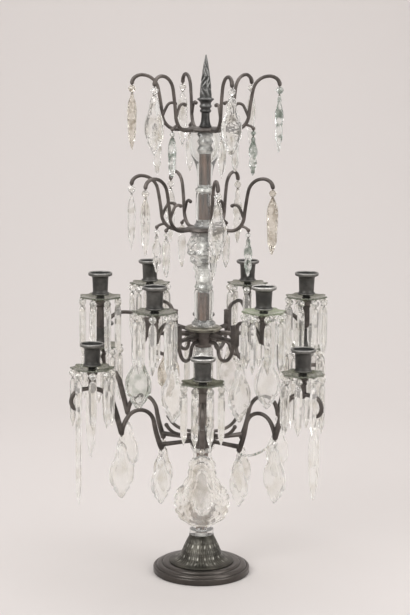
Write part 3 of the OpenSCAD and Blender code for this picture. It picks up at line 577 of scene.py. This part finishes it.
def upper_arms():
    lug = [(17, UPPER_ROOT, 0), (POST_R - 6, UPPER_ROOT, 0)], [4.76, 4.76, 4.4, 3.7, 3.4, 3.7, 4.2]
    strap = ([(17, UPPER_ROOT - 12, 0), (BOWL_R + 6, UPPER_ROOT - 12, 0),
              ((BOWL_R + POST_R) / 2, UPPER_ROOT - 38, 0), (POST_R - 4, UPPER_ROOT, 90)],
             [3.4, 3.4, 3.3, 3.1, 3.1, 3.3, 3.5])
    arch = ([(POST_R + 4, UPPER_ROOT + 20, 84), ((POST_R + UPPER_REACH) / 2, UPPER_ROOT + 37, 0),
             (*ARCH_TIP, -62)], [3.8, 3.4, 3.2, 3.2, 3.4, 3.7, 4.0])
    tail = [(POST_R + 4, UPPER_ROOT - 4, -90), (*TAIL_TIP, -15)], [3.6, 3.2, 3.0, 3.2]
    arm = scroll_work([lug, strap, arch, tail], [(ARCH_TIP, 4.3, -62, 1.0), (TAIL_TIP, 4.0, -15, 1.04)])
    post = bmesh.new()
    for size, up in (((15.4, 8.4, 32), 9.4), ((15.8, 8.8, 3.4), 26.2)):
        verts = bmesh.ops.create_cube(post, size=1)["verts"]
        bmesh.ops.scale(post, vec=size, verts=verts)
        bmesh.ops.translate(post, vec=(POST_R, 0, UPPER_ROOT + up), verts=verts)
    bmesh.ops.bevel(post, geom=post.edges[:], offset=1.1, offset_type="OFFSET", affect="EDGES", segments=2,
                    profile=0.5, material=-1)
    stamp(arm, kept(post), Matrix())
    stamp(arm, calyx(UPPER_SEAT, UPPER_ROOT + 9), Matrix.Translation((UPPER_REACH, 0, 0)))
    set_round(kept(arm), "upper_scroll_arms", UPPER_AZ, BRONZE, "upper_arms")


def crown_hooks(tier, azimuths, middle):
    elbow = CROWN_R + 37
    curl = (CROWN_R + 15, HOOK_RISE * 0.46)
    hook = scroll_work(
        [([(CROWN_R - 9, 0, 0), (CROWN_R + 12, 0, 0), (elbow, HOOK_RISE * 0.26, 84),
           (HOOK_TIP[0] - 17, HOOK_RISE - 2.5, 0), (*HOOK_TIP, -84)],
          [2.9, 2.9, 3.1, 3.1, 3.0, 2.9, 3.0, 3.2, 3.7]),
         ([(elbow, HOOK_RISE * 0.22, 110), (*curl, 215)], [2.7, 2.6, 2.5, 2.5, 2.8]),
         ([(elbow - 5, HOOK_RISE * 0.1, -10), (*HOOK_NUB, -50)], [2.4, 2.2, 2.5])],
        [(HOOK_TIP, 3.3, -84, 1.05), (curl, 3.3, 215, 1.05), (HOOK_NUB, 3.3, -50, 1.05)])
    set_round(kept(hook), f"{tier}_scroll_hooks", azimuths, HOOK_BRONZE, f"{tier}_crown_hooks", middle)


def run_length(points):
    return sum(math.dist(a, b) for a, b in zip(points, points[1:]))


def chased(outline, steps, height):
    """Turned shape with a raised skin: height(angle, place along the outline) gives its lift and wear."""
    bm = bmesh.new()
    lathe(bm, outline, steps)
    bm.normal_update()
    whole = run_length(outline)
    where = {}
    for i, (r, z) in enumerate(outline):
        where[round(r, 3), round(z, 3)] = run_length(outline[:i + 1]) / whole
    rubbing_and_highlight = bm.verts.layers.float.new("rubbing_and_highlight")
    moves = []
    for vert in bm.verts:
        key = (round(math.hypot(vert.co.x, vert.co.y), 3), round(vert.co.z, 3))
        share = where.get(key)
        if share is not None and key[0] > 0.5:
            lift, bright = height(math.atan2(vert.co.y, vert.co.x), share)
            moves.append((vert, vert.normal * lift))
            vert[rubbing_and_highlight] = bright
    for vert, move in moves:
        vert.co += move
    return bm


def leaf_cone():
    """Bell on a wide skirt, chased with two rows of upright leaves between fine ribs."""
    outline = [(7, 0), (30, 0), (56.4, 0), (57, 0.6), (57, 1.6), (56, 2.4)]
    outline += smooth_run((55, 3), (40, 6), (36.6, 13), 24)[1:]
    outline += smooth_run((36.4, 13.6), (31, 26), (22, 45), 36)
    outline += [(21.6, 46), (21.4, 48.6), (20.8, 49), (7, 49)]
    band_low, band_high = 0.43, 0.86
    rows = ((0.02, 0.62, 0.0), (0.5, 1.0, math.pi / 8))
    leaf_angle = math.pi / 4
    ribs = 56

    def leaves(angle, share):
        if not band_low < share < band_high:
            return 0.0, 0.0
        t = (share - band_low) / (band_high - band_low)
        lift, bright = 0.0, 0.0
        for row, (low, high, shift) in enumerate(rows):
            k = ((angle + shift) / leaf_angle) % 1.0 - 0.5
            along = (t - low) / (high - low)
            if not 0 < along < 1:
                continue
            half = 0.46 * math.sin(math.pi * min(1, along * 0.62 + 0.2)) ** 0.7
            if abs(k) > half:
                continue
            v = k / half
            body = (1 - v * v) * math.sin(math.pi * along) ** 0.5
            vein = 0.5 + 0.5 * math.cos(2 * math.pi * (abs(v) * 2.6 - along * 1.1))
            rib = bump_at(v, 0, 0.16)
            lift = max(lift, 0.75 * body + 0.28 * vein * body + 0.4 * rib * body)
            stroke = bump_at((along * 2.5 + row * 0.3) % 1.0, 0.5, 0.42)
            edge = bump_at(abs(v), 0.55, 0.3) * vein * stroke
            bright = max(bright, 0.95 * edge * bump_at(along, 0.45, 0.5) + 0.3 * rib * stroke)
        line = 0.5 + 0.5 * math.cos(angle * ribs + 5 * t)
        ends = min(1.0, t * 8, (1 - t) * 8)
        return (lift * 0.8 + 0.16 * line - 0.5) * ends, min(1.0, bright * 1.1 + 0.16 * line ** 3) * ends

    bm = chased(raised_by(FOOT_TOP, outline), 280, leaves)
    bmesh.ops.bridge_loops(bm, edges=[edge for edge in bm.edges if edge.is_boundary])
    finish_piece(bm, "chased_cone", "stand", [CONE_BRONZE], ["leaf_cone"], 60)


def foot():
    """Round foot: an upright wall, a rounded moulding between two grooves, and a step under the cone."""
    outline = [(6.9, 8), (43, 8), (43, 0), (83, 0), (84, 0.5), (84.5, 1.5), (84.5, 8.6)]
    outline += smooth_run((84.5, 9), (84.4, 11), (82.4, 11.2), 5)
    outline += [(80.6, 11.2), (80.2, 10.4), (79.6, 10.6)]
    outline += smooth_run((79.4, 11.2), (78.6, 15.6), (72.6, 15.8), 8)
    outline += [(69.4, 15.8), (69, 15), (68.4, 15.2)]
    outline += smooth_run((68.2, 15.8), (67.6, 18.6), (64.6, 18.8), 5)
    outline += [(63.4, FOOT_TOP), (57, FOOT_TOP), (6.9, FOOT_TOP), (6.9, 8)]
    bm = bmesh.new()
    lathe(bm, outline, 128)
    finish_piece(bm, "moulded_foot", "stand", [FOOT_BRONZE], ["foot"], 35)


def finial():
    """Spike with flame leaves licking up it, over a turned baluster."""
    outline = [(0, 0), (10.2, 0), (10.5, 0.5), (10.5, 2.4), (9.8, 3.2)]
    outline += smooth_run((9, 5), (6.5, 12), (7, 24.2), 10)
    outline += [(8.6, 25.2), (9.5, 26.4), (9.5, 28.6), (8.6, 29.8), (8, 30.4), (8.6, 32.2), (10, 33.6),
                (10.6, 35.2), (10, 37), (9, 38.4), (9, 40)]
    outline += smooth_run((9.2, 40.8), (10, 43), (13.6, 45.8), 4)
    outline += [(14, 46.4), (14, 47.8), (13.4, 48.4), (10.6, 49.4)]
    baluster = len(outline) + 1
    outline = raised_by(FINIAL_FOOT, outline + smooth_run((10, 50.4), (9, 80), (1, 120.4), 44) + [(0, 121)])
    spike = run_length(outline[:baluster]) / run_length(outline)

    def flames(angle, share):
        t = (share - spike) / (1 - spike)
        if t <= 0.0:
            band = bump_at(share, 0.36, 0.03) + bump_at(share, 0.46, 0.03)
            return 0.0, 0.35 * min(1, band)
        k = ((angle + 0.9 * math.sin(t * 9)) / (math.pi / 3)) % 1.0 - 0.5
        k2 = ((angle - 0.7 * math.sin(t * 12 + 1)) / (math.pi / 2.5)) % 1.0 - 0.5
        ridge = max(bump_at(k, 0, 0.3), 0.8 * bump_at(k2, 0, 0.24))
        fade = min(1.0, (1 - t) * 3)
        return (0.9 * ridge - 0.6) * fade, 0.95 * ridge ** 1.5 * min(1, t * 6)

    bm = chased(outline, 72, flames)
    finish_piece(bm, "flame_spike", "stand", [FINIAL_BRONZE], ["finial"], 55)


# Stem
ROD_FIT = 6.4
RIDGE, VASE_RIDGE, RIDGE_PITCH = 2.4, 2.6, 11
LINING_R = 10
ALL_SHAFT = 99

# Name, foot, sides, crease, radius of the plain shaft, stretch of bare rod, outline
STEM_PIECES = (
    ("lower_column", 68, 48, 45, 16, (4, 150),
     [(20, 0), (21, 2)] + smooth_run((21, 9), (16, 10), (15, 17), 8) + [(16, 22), (16, 146)]
     + smooth_run((16, 148), (20, 153), (16, 158), 8)),
    ("middle_column", 256, 48, 45, 14, (8, 116),
     smooth_run((14, 0), (19, 4), (14, 8), 8) + smooth_run((14, 65.5), (19, 73.5), (14, 81.5), 8)
     + smooth_run((14, 117), (19, 122), (14, 127), 6) + smooth_run((14, 127.5), (18, 132), (14, 136.5), 6)
     + smooth_run((14, 139), (17, 143), (14, 147), 6)),
    ("upper_column", 439, 48, 45, 17, (10, 58),
     [(19.5, 0), (20.5, 2), (20.5, 6)] + smooth_run((18.5, 8), (14, 10), (16, 18), 6) + [(17, 44.8)]
     + smooth_run((17, 54), (17, 62), (14, 64), 6)),
    ("vase", 503, 12, None, ALL_SHAFT, None,
     [(14, 0), (16.4, 3.5), (14, 8), (13.2, 14), (16.4, 21), (14.8, 28), (19.4, 35), (18.4, 42), (25, 49),
      (24.4, 56), (30.4, 63), (28, 70), (31, 77), (26, 84), (25, 89), (21.8, 93), (23.5, 99)]),
    ("neck_column", 610, 48, 45, 15, (13, 57),
     [(18, 0), (18, 4)] + smooth_run((16, 6), (13, 10), (15, 18), 6) + [(15, 57)]
     + smooth_run((14, 59), (19, 63), (14, 67), 6)),
    ("tulip", 677, 48, 45, ALL_SHAFT, (5, 60),
     [(13, 0), (12, 4), (12, 10)] + smooth_run((12.2, 14), (13, 34), (20, 47), 8)
     + smooth_run((20.6, 48), (28.4, 62), (27, 76), 10) + [(25.2, 87), (23.5, 94)]))


def lining(outline, bare):
    """Inner wall of a glass piece: close to the rod where it is bare, ridged above and in the vase."""
    if not bare:
        return [(ROD_BORE + VASE_RIDGE * (k % 2), up) for k, (r, up) in enumerate(outline)]
    low, high = bare
    top = outline[-1][1]
    ridges = max(2, 2 * round((top - high) / RIDGE_PITCH))
    wall = [(ROD_BORE, 0), (ROD_BORE, low), (ROD_FIT, low), (ROD_FIT, high)]
    for k in range(ridges + 1):
        wall.append((ROD_BORE + RIDGE * (k % 2), high + (top - high) * k / ridges))
    return wall


def stem_glass():
    """Glass pieces round the rod, which is bare in their middles, and sleeved at the ends and in the vase."""
    for name, z, steps, crease, shaft, bare, outline in STEM_PIECES:
        bm = bmesh.new()
        lathe(bm, raised_by(z, outline + lining(outline, bare)[::-1] + outline[:1]), steps)
        if name == "vase":
            shifted = {round(z + up, 3) for r, up in outline[4:15:2]}
            ring = [vert for vert in bm.verts if round(vert.co.z, 3) in shifted]
            rotated(bm, ring, math.pi / steps, "Z")
            bmesh.ops.triangulate(bm, faces=bm.faces)
        bm.normal_update()
        for face in bm.faces:
            out = face.calc_center_median().xy.length
            inner = out < LINING_R and abs(face.normal.z) < 0.8
            face.material_index = 1 if inner else 2 if out > shaft + 0.5 else 0
        body = VASE_GLASS if name == "vase" else STEM_GLASS
        finish_piece(bm, f"cut_{name}", "stand", [body, SLEEVE, STEM_RING], [name], crease)


# Stones


def cut_bead(h, r):
    return cut_stone([(r * 0.24, 0), (r * 0.78, h * 0.2), (r, h * 0.45), (r * 0.78, h * 0.74),
                      (r * 0.24, h)], 8)


def icicle(h, r):
    return cut_stone([(r * 0.3, 0), (r * 0.8, r * 0.7), (r, r * 1.6), (r * 0.92, h * 0.5),
                      (r * 0.84, h * 0.84), (r * 0.1, h)], 6)


def pin(h, r=0.55):
    bm = bmesh.new()
    bmesh.ops.create_cone(bm, cap_ends=True, segments=8, radius1=r, radius2=r, depth=h)
    return kept(bm)


def wire_ring(r, wire):
    """Upright ring of wire that a stone hangs from, seen from the front of its arm."""
    bm = bmesh.new()
    made = bmesh.ops.create_circle(bm, segments=6, radius=wire)["verts"]
    rotated(bm, made, math.pi / 2, "X")
    bmesh.ops.translate(bm, vec=(r, 0, 0), verts=made)
    spun(bm, bm.verts[:] + bm.edges[:], 14)
    rotated(bm, bm.verts, math.pi / 2, "X")
    return kept(bm)


STUD = pin(5.0)
LOOP = wire_ring(2.0, 0.5)
SPEAR_SHARES = (
    (0.2, 0.5, 0.76, 0.94, 1, 1, 0.97, 0.93, 0.88, 0.82, 0.74, 0.56, 0.3, 0.06),
    (0.2, 0.5, 0.42, 0.7, 0.92, 1, 0.92, 0.7, 0.78, 0.9, 0.76, 0.5, 0.42, 0.1),
    (0.2, 0.56, 0.84, 0.98, 1, 0.98, 0.94, 0.9, 0.86, 0.84, 0.8, 0.62, 0.34, 0.06))
LEAF_SHARES = (0.12, 0.3, 0.4, 0.44, 0.46, 0.5, 0.57, 0.66, 0.77, 0.87, 0.94, 0.98,
               1, 1, 1, 0.98, 0.94, 0.84, 0.64, 0.66, 0.52, 0.34, 0.26, 0.06)
GREAT_SHARES = (0.1, 0.3, 0.42, 0.48, 0.49, 0.46, 0.5, 0.52, 0.5, 0.55, 0.62, 0.66, 0.71, 0.83, 0.9,
                0.9, 0.98, 1, 0.95, 0.99, 1, 0.93, 0.96, 0.94, 0.83, 0.84, 0.76, 0.58, 0.46, 0.14)
SPEAR_BEVELS = ((0.78, 0.93, 0.6), (0.4, 0.82, 1.0))
TABLE_BEVELS = ((0.86, 0.96, 0.7), (0.76, 0.93, 1.0))
LEAF_BEVELS = ((0.86, 0.93, 0.5), (0.66, 0.82, 0.92), (0.58, 0.76, 1.0))
GREAT_BEVELS = ((0.88, 0.94, 0.5), (0.72, 0.86, 0.6), (0.66, 0.8, 0.5), (0.4, 0.62, 0.6), (0.34, 0.56, 1.0))
SPEAR_NOTCH = 0.05
# Width share, pattern and finish of the pendants of each crown
PENDANTS = {
    "upper": ((1.9, 0, CLEAR), (0.8, 1, DARK), (1, 0, CLEAR), (1, 2, CLEAR), (0.85, 0, SMOKE),
              (2.3, 0, CLEAR)),
    "lower": ((1.6, 0, CLEAR), (1.1, 2, SMOKE), (1, 1, CLEAR), (1, 0, CLEAR), (0.75, 0, CLEAR),
              (1.05, 0, GREAT))}
FIRST_LEAVES = (PALE, PALE, CLEAR, SMOKE, CLEAR, PALE)
TAIL_LEAVES = (PALE, PALE, CLEAR, SMOKE, GREEN, PALE)
DARK_DROPS = (1, 7, 11)


def spear_plaque(h, w, kind=0):
    """Long plaque of one of three patterns, its edge cut in a little at every other step."""
    widths = [w / 2 * s * (1 - SPEAR_NOTCH * (i % 2)) for i, s in enumerate(SPEAR_SHARES[kind])]
    return cut_plaque(h, widths, w * 0.45, TABLE_BEVELS if kind == 2 else SPEAR_BEVELS)


def leaf_plaque(h, w):
    return cut_plaque(h, [w / 2 * s for s in LEAF_SHARES], w * 0.26, LEAF_BEVELS)


def hang(stones, pins, top, bead, bead_h, stone, finish):
    """Bead and stone below a place, with the pin above them and the wire ring between them."""
    low = top @ lifted(-bead_h - HANG_GAP)
    stamp(stones, bead, top, finish)
    stamp(stones, stone, low, finish)
    stamp(pins, STUD, top @ lifted(1))
    stamp(pins, LOOP, low)


def finish_stones(stones, pins, name, pins_name, body, stands_for):
    finish_piece(stones, name, body, STONES, [stands_for])
    finish_piece(pins, pins_name, body, [WIRE], crease=50)


def pan_stones():
    """Octagon beads with flat spear prisms under the corners of each drip pan, a few clearer than most."""
    bead = cut_bead(BEAD_H, BEAD_R)
    prism = cut_stone([(1.4, 0), (4.4, 2.6), (6.2, 8), (6.6, 15), (6.4, 50), (5.9, 69), (0.7, 84)], 6, 0.85)
    stud = pin(4.2)
    link = pin(3.4, 0.7)
    for tier, azimuths, reach, seat in TIERS:
        for i, az in enumerate(azimuths):
            stones, pins = bmesh.new(), bmesh.new()
            for k in range(8):
                corner = (facing(az, reach, seat) @ Matrix.Rotation(math.radians((k + 0.5) * 45), 4, "Z")
                          @ Matrix.Translation((PAN_HANG[0], 0, PAN_HANG[1] - HANG_GAP)))
                low = corner @ lifted(-BEAD_H - HANG_GAP)
                finish = CLEAR if (k * 5 + i * 3) % 7 == 0 else PRISM
                stamp(stones, bead, corner, finish)
                stamp(stones, prism, low, finish)
                stamp(pins, stud, corner @ lifted(0.6))
                stamp(pins, link, low)
            finish_stones(stones, pins, f"{tier}_pan_stones_{i + 1}", f"{tier}_pan_pins_{i + 1}",
                          f"{tier}_pan_{i + 1}", f"{tier}_prisms_{i + 1}")


def crown_pendants():
    """A bead and a plaque under every hook, a leaf where it is broad."""
    bead = cut_bead(BEAD_H, BEAD_R)
    for tier, azimuths, middle in CROWNS:
        for i, (az, (share, kind, finish)) in enumerate(zip(azimuths, PENDANTS[tier])):
            stones, pins = bmesh.new(), bmesh.new()
            size = PENDANT_H, PENDANT_W * share
            plaque = leaf_plaque(*size) if share > BROAD else spear_plaque(*size, kind)
            top = facing(az, HOOK_TIP[0], middle + HOOK_TIP[1] - HOOK_BUD - HANG_GAP) @ hang_turn(az)
            hang(stones, pins, top, bead, BEAD_H, plaque, finish)
            name = f"{tier}_pendant_{i + 1}"
            finish_stones(stones, pins, f"{tier}_crown_stones_{i + 1}", f"{tier}_crown_pins_{i + 1}",
                          name, name)


def arm_stones():
    """Plaques under both tips of every lower arm, the great one at the front, and icicles on the others."""
    stones, pins = bmesh.new(), bmesh.new()
    bead = cut_bead(SMALL_BEAD_H, BEAD_R * 0.8)
    slim = cut_bead(SMALL_BEAD_H, BEAD_R * 0.6)
    leaf = leaf_plaque(LEAF_H, LEAF_W)
    small_leaf = leaf_plaque(LEAF_H * SMALL_LEAF, LEAF_W * SMALL_LEAF)
    great = cut_plaque(122, [46 * s for s in GREAT_SHARES], 18.4, GREAT_BEVELS)
    flat_icicle = spear_plaque(128, 23)
    round_icicle = icicle(150, 5.6)
    for i, az in enumerate(LOWER_AZ):
        hung = [(FIRST_TIP, FIRST_BUD, bead, small_leaf, FIRST_LEAVES[i]),
                (SECOND_TIP, SECOND_BUD, bead, leaf if i else great, PALE if i else GREAT)]
        if i:
            hung.append((CURL_TIP, CURL_BUD, slim, flat_icicle if i % 3 == 1 else round_icicle, PALE))
        for tip, below, top_stone, stone, finish in hung:
            top = facing(az, tip[0], tip[1] - below - HANG_GAP) @ hang_turn(az)
            hang(stones, pins, top, top_stone, SMALL_BEAD_H, stone, finish)
    finish_stones(stones, pins, "arm_stones", "arm_stone_pins", "stand", "arm_plaques")


def bead_swag():
    """String of small beads, by turns dark and clear, between the two tips of the front right arm."""
    beads = bmesh.new()
    bead_h, count, sag = 4.6, 19, 9
    bead = cut_bead(bead_h, 2.2)
    start, end = (FIRST_TIP[0] + 5, FIRST_TIP[1] - 8), (SECOND_TIP[0] - 4, SECOND_TIP[1] - 8)
    for k in range(count):
        t = k / (count - 1)
        r = start[0] + (end[0] - start[0]) * t
        z = start[1] + (end[1] - start[1]) * t - 4 * sag * t * (1 - t)
        stamp(beads, bead, facing(LOWER_AZ[1], r, z + bead_h / 2), CLEAR if k % 2 else DARK)
    finish_piece(beads, "bead_swag", "stand", STONES)


def small_drops():
    """Small plaques under the nubs of the hooks, and leaves under the tails of the upper arms."""
    stones, pins = bmesh.new(), bmesh.new()
    bead = cut_bead(DROP_BEAD_H, BEAD_R * 0.7)
    drops = [spear_plaque(66, 16, kind) for kind in range(3)]
    leaf = leaf_plaque(LEAF_H, LEAF_W)
    nubs = [(middle, az) for tier, azimuths, middle in reversed(CROWNS) for az in azimuths]
    for i, (middle, az) in enumerate(nubs):
        top = facing(az, HOOK_NUB[0], middle + HOOK_NUB[1] - HOOK_BUD - HANG_GAP) @ hang_turn(az)
        hang(stones, pins, top, bead, DROP_BEAD_H, drops[i % 3], DARK if i in DARK_DROPS else CLEAR)
    for az, finish in zip(UPPER_AZ, TAIL_LEAVES):
        top = facing(az, TAIL_TIP[0], TAIL_TIP[1] - TAIL_BUD - HANG_GAP) @ hang_turn(az)
        hang(stones, pins, top, bead, DROP_BEAD_H, leaf, finish)
    finish_stones(stones, pins, "small_drops", "small_drop_pins", "stand", "hook_drops")


def drip_pans():
    """Eight sided glass dishes of flat panels, with hollowed sides and pointed corners."""
    flat_r, rim_r = 13, 37
    scoop, away = 22.2, 53.95
    rise, rise_from, rise_run = 6, 12, 22.2
    bm = bmesh.new()
    lathe(bm, [(6.3, 0.3), (13, 0.3), (25, 0.3), (36.4, 0.3), (37, 0.8), (37, 2.2), (36.4, 2.75), (25, 3.3),
               (14, 3.8), (6.9, 3.8), (6.3, 3.2), (6.3, 0.3)], 64)
    for vert in bm.verts:
        r = math.hypot(vert.co.x, vert.co.y)
        if r < flat_r + 0.5:
            continue
        across = math.radians((math.degrees(math.atan2(vert.co.y, vert.co.x)) + 22.5) % 45 - 22.5)
        side = away * math.cos(across) - math.sqrt(max(0, scoop ** 2 - (away * math.sin(across)) ** 2))
        grown = flat_r + (r - flat_r) / (rim_r - flat_r) * (min(rim_r, side) - flat_r)
        vert.co.x *= grown / r
        vert.co.y *= grown / r
        vert.co.z += rise * max(0, grown * math.cos(across) - rise_from) / rise_run
    bm.normal_update()
    for face in bm.faces:
        edge = abs(face.normal.z) < 0.5 and face.calc_center_median().xy.length > 20
        face.material_index = int(edge)
    pan = kept(bm)
    for tier, azimuths, reach, seat in TIERS:
        for i, az in enumerate(azimuths):
            dish = bmesh.new()
            stamp(dish, pan, facing(az, reach, seat))
            # The front right upper pan takes the lighter glass, a painted sheen
            finish = SHEEN_PAN_GLASS if (tier, i) == ("upper", 0) else PAN_GLASS
            finish_piece(dish, f"{tier}_dish_{i + 1}", f"{tier}_pan_{i + 1}", [finish, PAN_EDGE],
                         [f"{tier}_drip_pan_{i + 1}"], 18)


drip_pans()
stem_glass()
candle_cups()
lower_arms()
upper_arms()
for crown in reversed(CROWNS):
    crown_hooks(*crown)
foot()
leaf_cone()
finial()
pan_stones()
crown_pendants()
arm_stones()
bead_swag()
small_drops()


def numbered(kind):
    """Names of the twelve solids of a kind, six on each tier."""
    return [f"{tier}_{kind}_{i}" for tier in ("upper", "lower") for i in range(1, 7)]


# Finishes of the solids, also of those that a drawn piece stands for
for finish, names in (
        (RUST, ["base_nut", "stem_rod"]), (FOOT_BRONZE, ["foot"]), (CONE_BRONZE, ["leaf_cone"]),
        (BRONZE, ["lower_hub", "upper_hub_bowl", "lower_crown_plate", "upper_crown_plate", "lower_arms",
                  "upper_arms", "lower_crown_hooks", "upper_crown_hooks"]),
        (COVER_HIGHLIGHT_BRONZE, ["upper_hub_cover"]), (CUP_BRONZE, ["candle_cups"]), (FINIAL_BRONZE, ["finial"]),
        (STEM_GLASS, ["lower_column", "middle_column", "upper_column", "vase", "neck_column", "tulip"]),
        (PAN_GLASS, numbered("drip_pan")),
        (CLEAR, ["arm_plaques", "hook_drops"] + numbered("prisms") + numbered("pendant"))):
    for name in names:
        nodes[name].data.materials.clear()
        nodes[name].data.materials.append(finish)

# Studio, in metres
PALE_AIR = (0.72, 0.69, 0.67)
ROOM_LIGHT = (0.44, 0.43, 0.425)
SWEEP_COLOUR = (0.724, 0.681, 0.661)
HAZE_AHEAD, HAZE_BESIDE = (-0.9, -2.4), (1.1, 2.6)
FLOOR_HALF, FLOOR_FRONT, FLOOR_BACK = 6, -5, 1.2
BEND, BEND_STEPS, WALL_TOP = 1.6, 16, 5
PHOTO_H, FOCAL_PIXELS, FILM = 615, 1595, 36
CAMERA_PLACE, CAMERA_DOWN, CAMERA_ROLL = (0.0023, -2.7, 0.93), 9.65, 0.55
# Name, place, aim, size and power
SOFT_BOXES = (
    ("key", (-2.3, -2.6, 2.9), (0, 0, 0.5), (2.1, 2.1), 78),
    ("fill", (2.1, -1.2, 1.5), (0, 0, 0.5), (1.4, 1.8), 19),
    ("top", (0.2, 0.5, 2.8), (0, 0.2, 0.3), (2.4, 2.0), 36))


def sees_air(tree, path):
    """1 for rays that show the pale air: the camera's, and those that metal and glass send on."""
    either = node(tree, "ShaderNodeMath", operation="MAXIMUM")
    every = node(tree, "ShaderNodeMath", operation="MAXIMUM")
    join(tree, (path, "Is Camera Ray", either, 0), (path, "Is Glossy Ray", either, 1),
         (either, 0, every, 0), (path, "Is Transmission Ray", every, 1))
    return every


def sweep_finish():
    """Pale paper that fades into the air far from the object, and lets a camera behind it look through."""
    made, tree, shader = blank("pale_sweep", {
        "Base Color": (*SWEEP_COLOUR, 1), "Roughness": 0.9, "Specular IOR Level": 0.1})
    facet = node(tree, "ShaderNodeNewGeometry")
    path = node(tree, "ShaderNodeLightPath")
    way = node(tree, "ShaderNodeTexCoord")
    split = node(tree, "ShaderNodeSeparateXYZ")
    width = node(tree, "ShaderNodeMath", operation="ABSOLUTE")
    ahead, beside = (node(tree, "ShaderNodeMapRange", {"From Min": start, "From Max": end})
                     for start, end in (HAZE_AHEAD, HAZE_BESIDE))
    far = node(tree, "ShaderNodeMath", operation="MAXIMUM")
    haze = node(tree, "ShaderNodeMath", operation="MULTIPLY")
    pale = node(tree, "ShaderNodeEmission", {"Color": (*PALE_AIR, 1)})
    faded = node(tree, "ShaderNodeMixShader")
    behind = node(tree, "ShaderNodeMath", operation="MULTIPLY")
    clear = node(tree, "ShaderNodeBsdfTransparent")
    either = node(tree, "ShaderNodeMixShader")
    join(tree, (way, "Object", split, 0), (split, "Y", ahead, "Value"), (split, "X", width, 0),
         (width, 0, beside, "Value"), (ahead, "Result", far, 0), (beside, "Result", far, 1),
         (far, 0, haze, 0), (sees_air(tree, path), 0, haze, 1),
         (haze, 0, faded, 0), (shader, 0, faded, 1), (pale, 0, faded, 2),
         (facet, "Backfacing", behind, 0), (path, "Is Camera Ray", behind, 1),
         (behind, 0, either, 0), (faded, 0, either, 1), (clear, 0, either, 2),
         (either, 0, tree.nodes["Material Output"], "Surface"))
    return made


def studio_sweep():
    """Floor that bends up into a backdrop."""
    bm = bmesh.new()
    side = [(FLOOR_FRONT, 0), (FLOOR_BACK, 0)]
    for i in range(1, BEND_STEPS + 1):
        a = math.pi / 2 * i / BEND_STEPS
        side.append((FLOOR_BACK + BEND * math.sin(a), BEND - BEND * math.cos(a)))
    side.append((FLOOR_BACK + BEND, WALL_TOP))
    verts = [bm.verts.new((-FLOOR_HALF, y, z)) for y, z in side]
    edges = [bm.edges.new(pair) for pair in zip(verts, verts[1:])]
    grown = bmesh.ops.extrude_edge_only(bm, edges=edges)["geom"]
    far_side = [g for g in grown if isinstance(g, bmesh.types.BMVert)]
    bmesh.ops.translate(bm, vec=(2 * FLOOR_HALF, 0, 0), verts=far_side)
    bm.normal_update()
    if bm.faces[:][0].normal.z < 0:
        bmesh.ops.reverse_faces(bm, faces=bm.faces)
    mesh = bpy.data.meshes.new("sweep")
    bm.to_mesh(mesh)
    bm.free()
    mesh.shade_smooth()
    mesh.materials.append(sweep_finish())
    sweep = bpy.data.objects.new("sweep", mesh)
    scene.collection.objects.link(sweep)


def soft_box(name, place, aim, size, power):
    lamp = bpy.data.lights.new(name, "AREA")
    lamp.shape = "RECTANGLE"
    lamp.size, lamp.size_y = size
    lamp.energy = power
    holder = bpy.data.objects.new(name, lamp)
    holder.location = place
    holder.rotation_euler = (Vector(aim) - Vector(place)).to_track_quat("-Z", "Y").to_euler()
    scene.collection.objects.link(holder)


def studio_air():
    """Even light from all round, and pale air where it is seen."""
    world = bpy.data.worlds.new("studio")
    world.use_nodes = True
    scene.world = world
    tree = world.node_tree
    path = node(tree, "ShaderNodeLightPath")
    colour = mix_colour(tree, sees_air(tree, path), 0, ROOM_LIGHT, PALE_AIR)
    join(tree, (colour, MIXED, tree.nodes["Background"], "Color"))


def camera():
    lens = bpy.data.cameras.new("camera")
    lens.sensor_fit = "VERTICAL"
    lens.sensor_height = FILM
    lens.lens = FOCAL_PIXELS / PHOTO_H * FILM
    holder = bpy.data.objects.new("camera", lens)
    holder.matrix_world = (Matrix.Translation(CAMERA_PLACE)
                           @ Matrix.Rotation(math.radians(90 - CAMERA_DOWN), 4, "X")
                           @ Matrix.Rotation(math.radians(CAMERA_ROLL), 4, "Z"))
    scene.collection.objects.link(holder)
    scene.camera = holder


studio_sweep()
studio_air()
camera()
for box in SOFT_BOXES:
    soft_box(*box)
scene.view_settings.view_transform = "Standard"
scene.cycles.max_bounces = 32
scene.cycles.transmission_bounces = 28
scene.cycles.glossy_bounces = 8
scene.cycles.transparent_max_bounces = 32
scene.cycles.caustics_reflective = False
scene.cycles.caustics_refractive = False
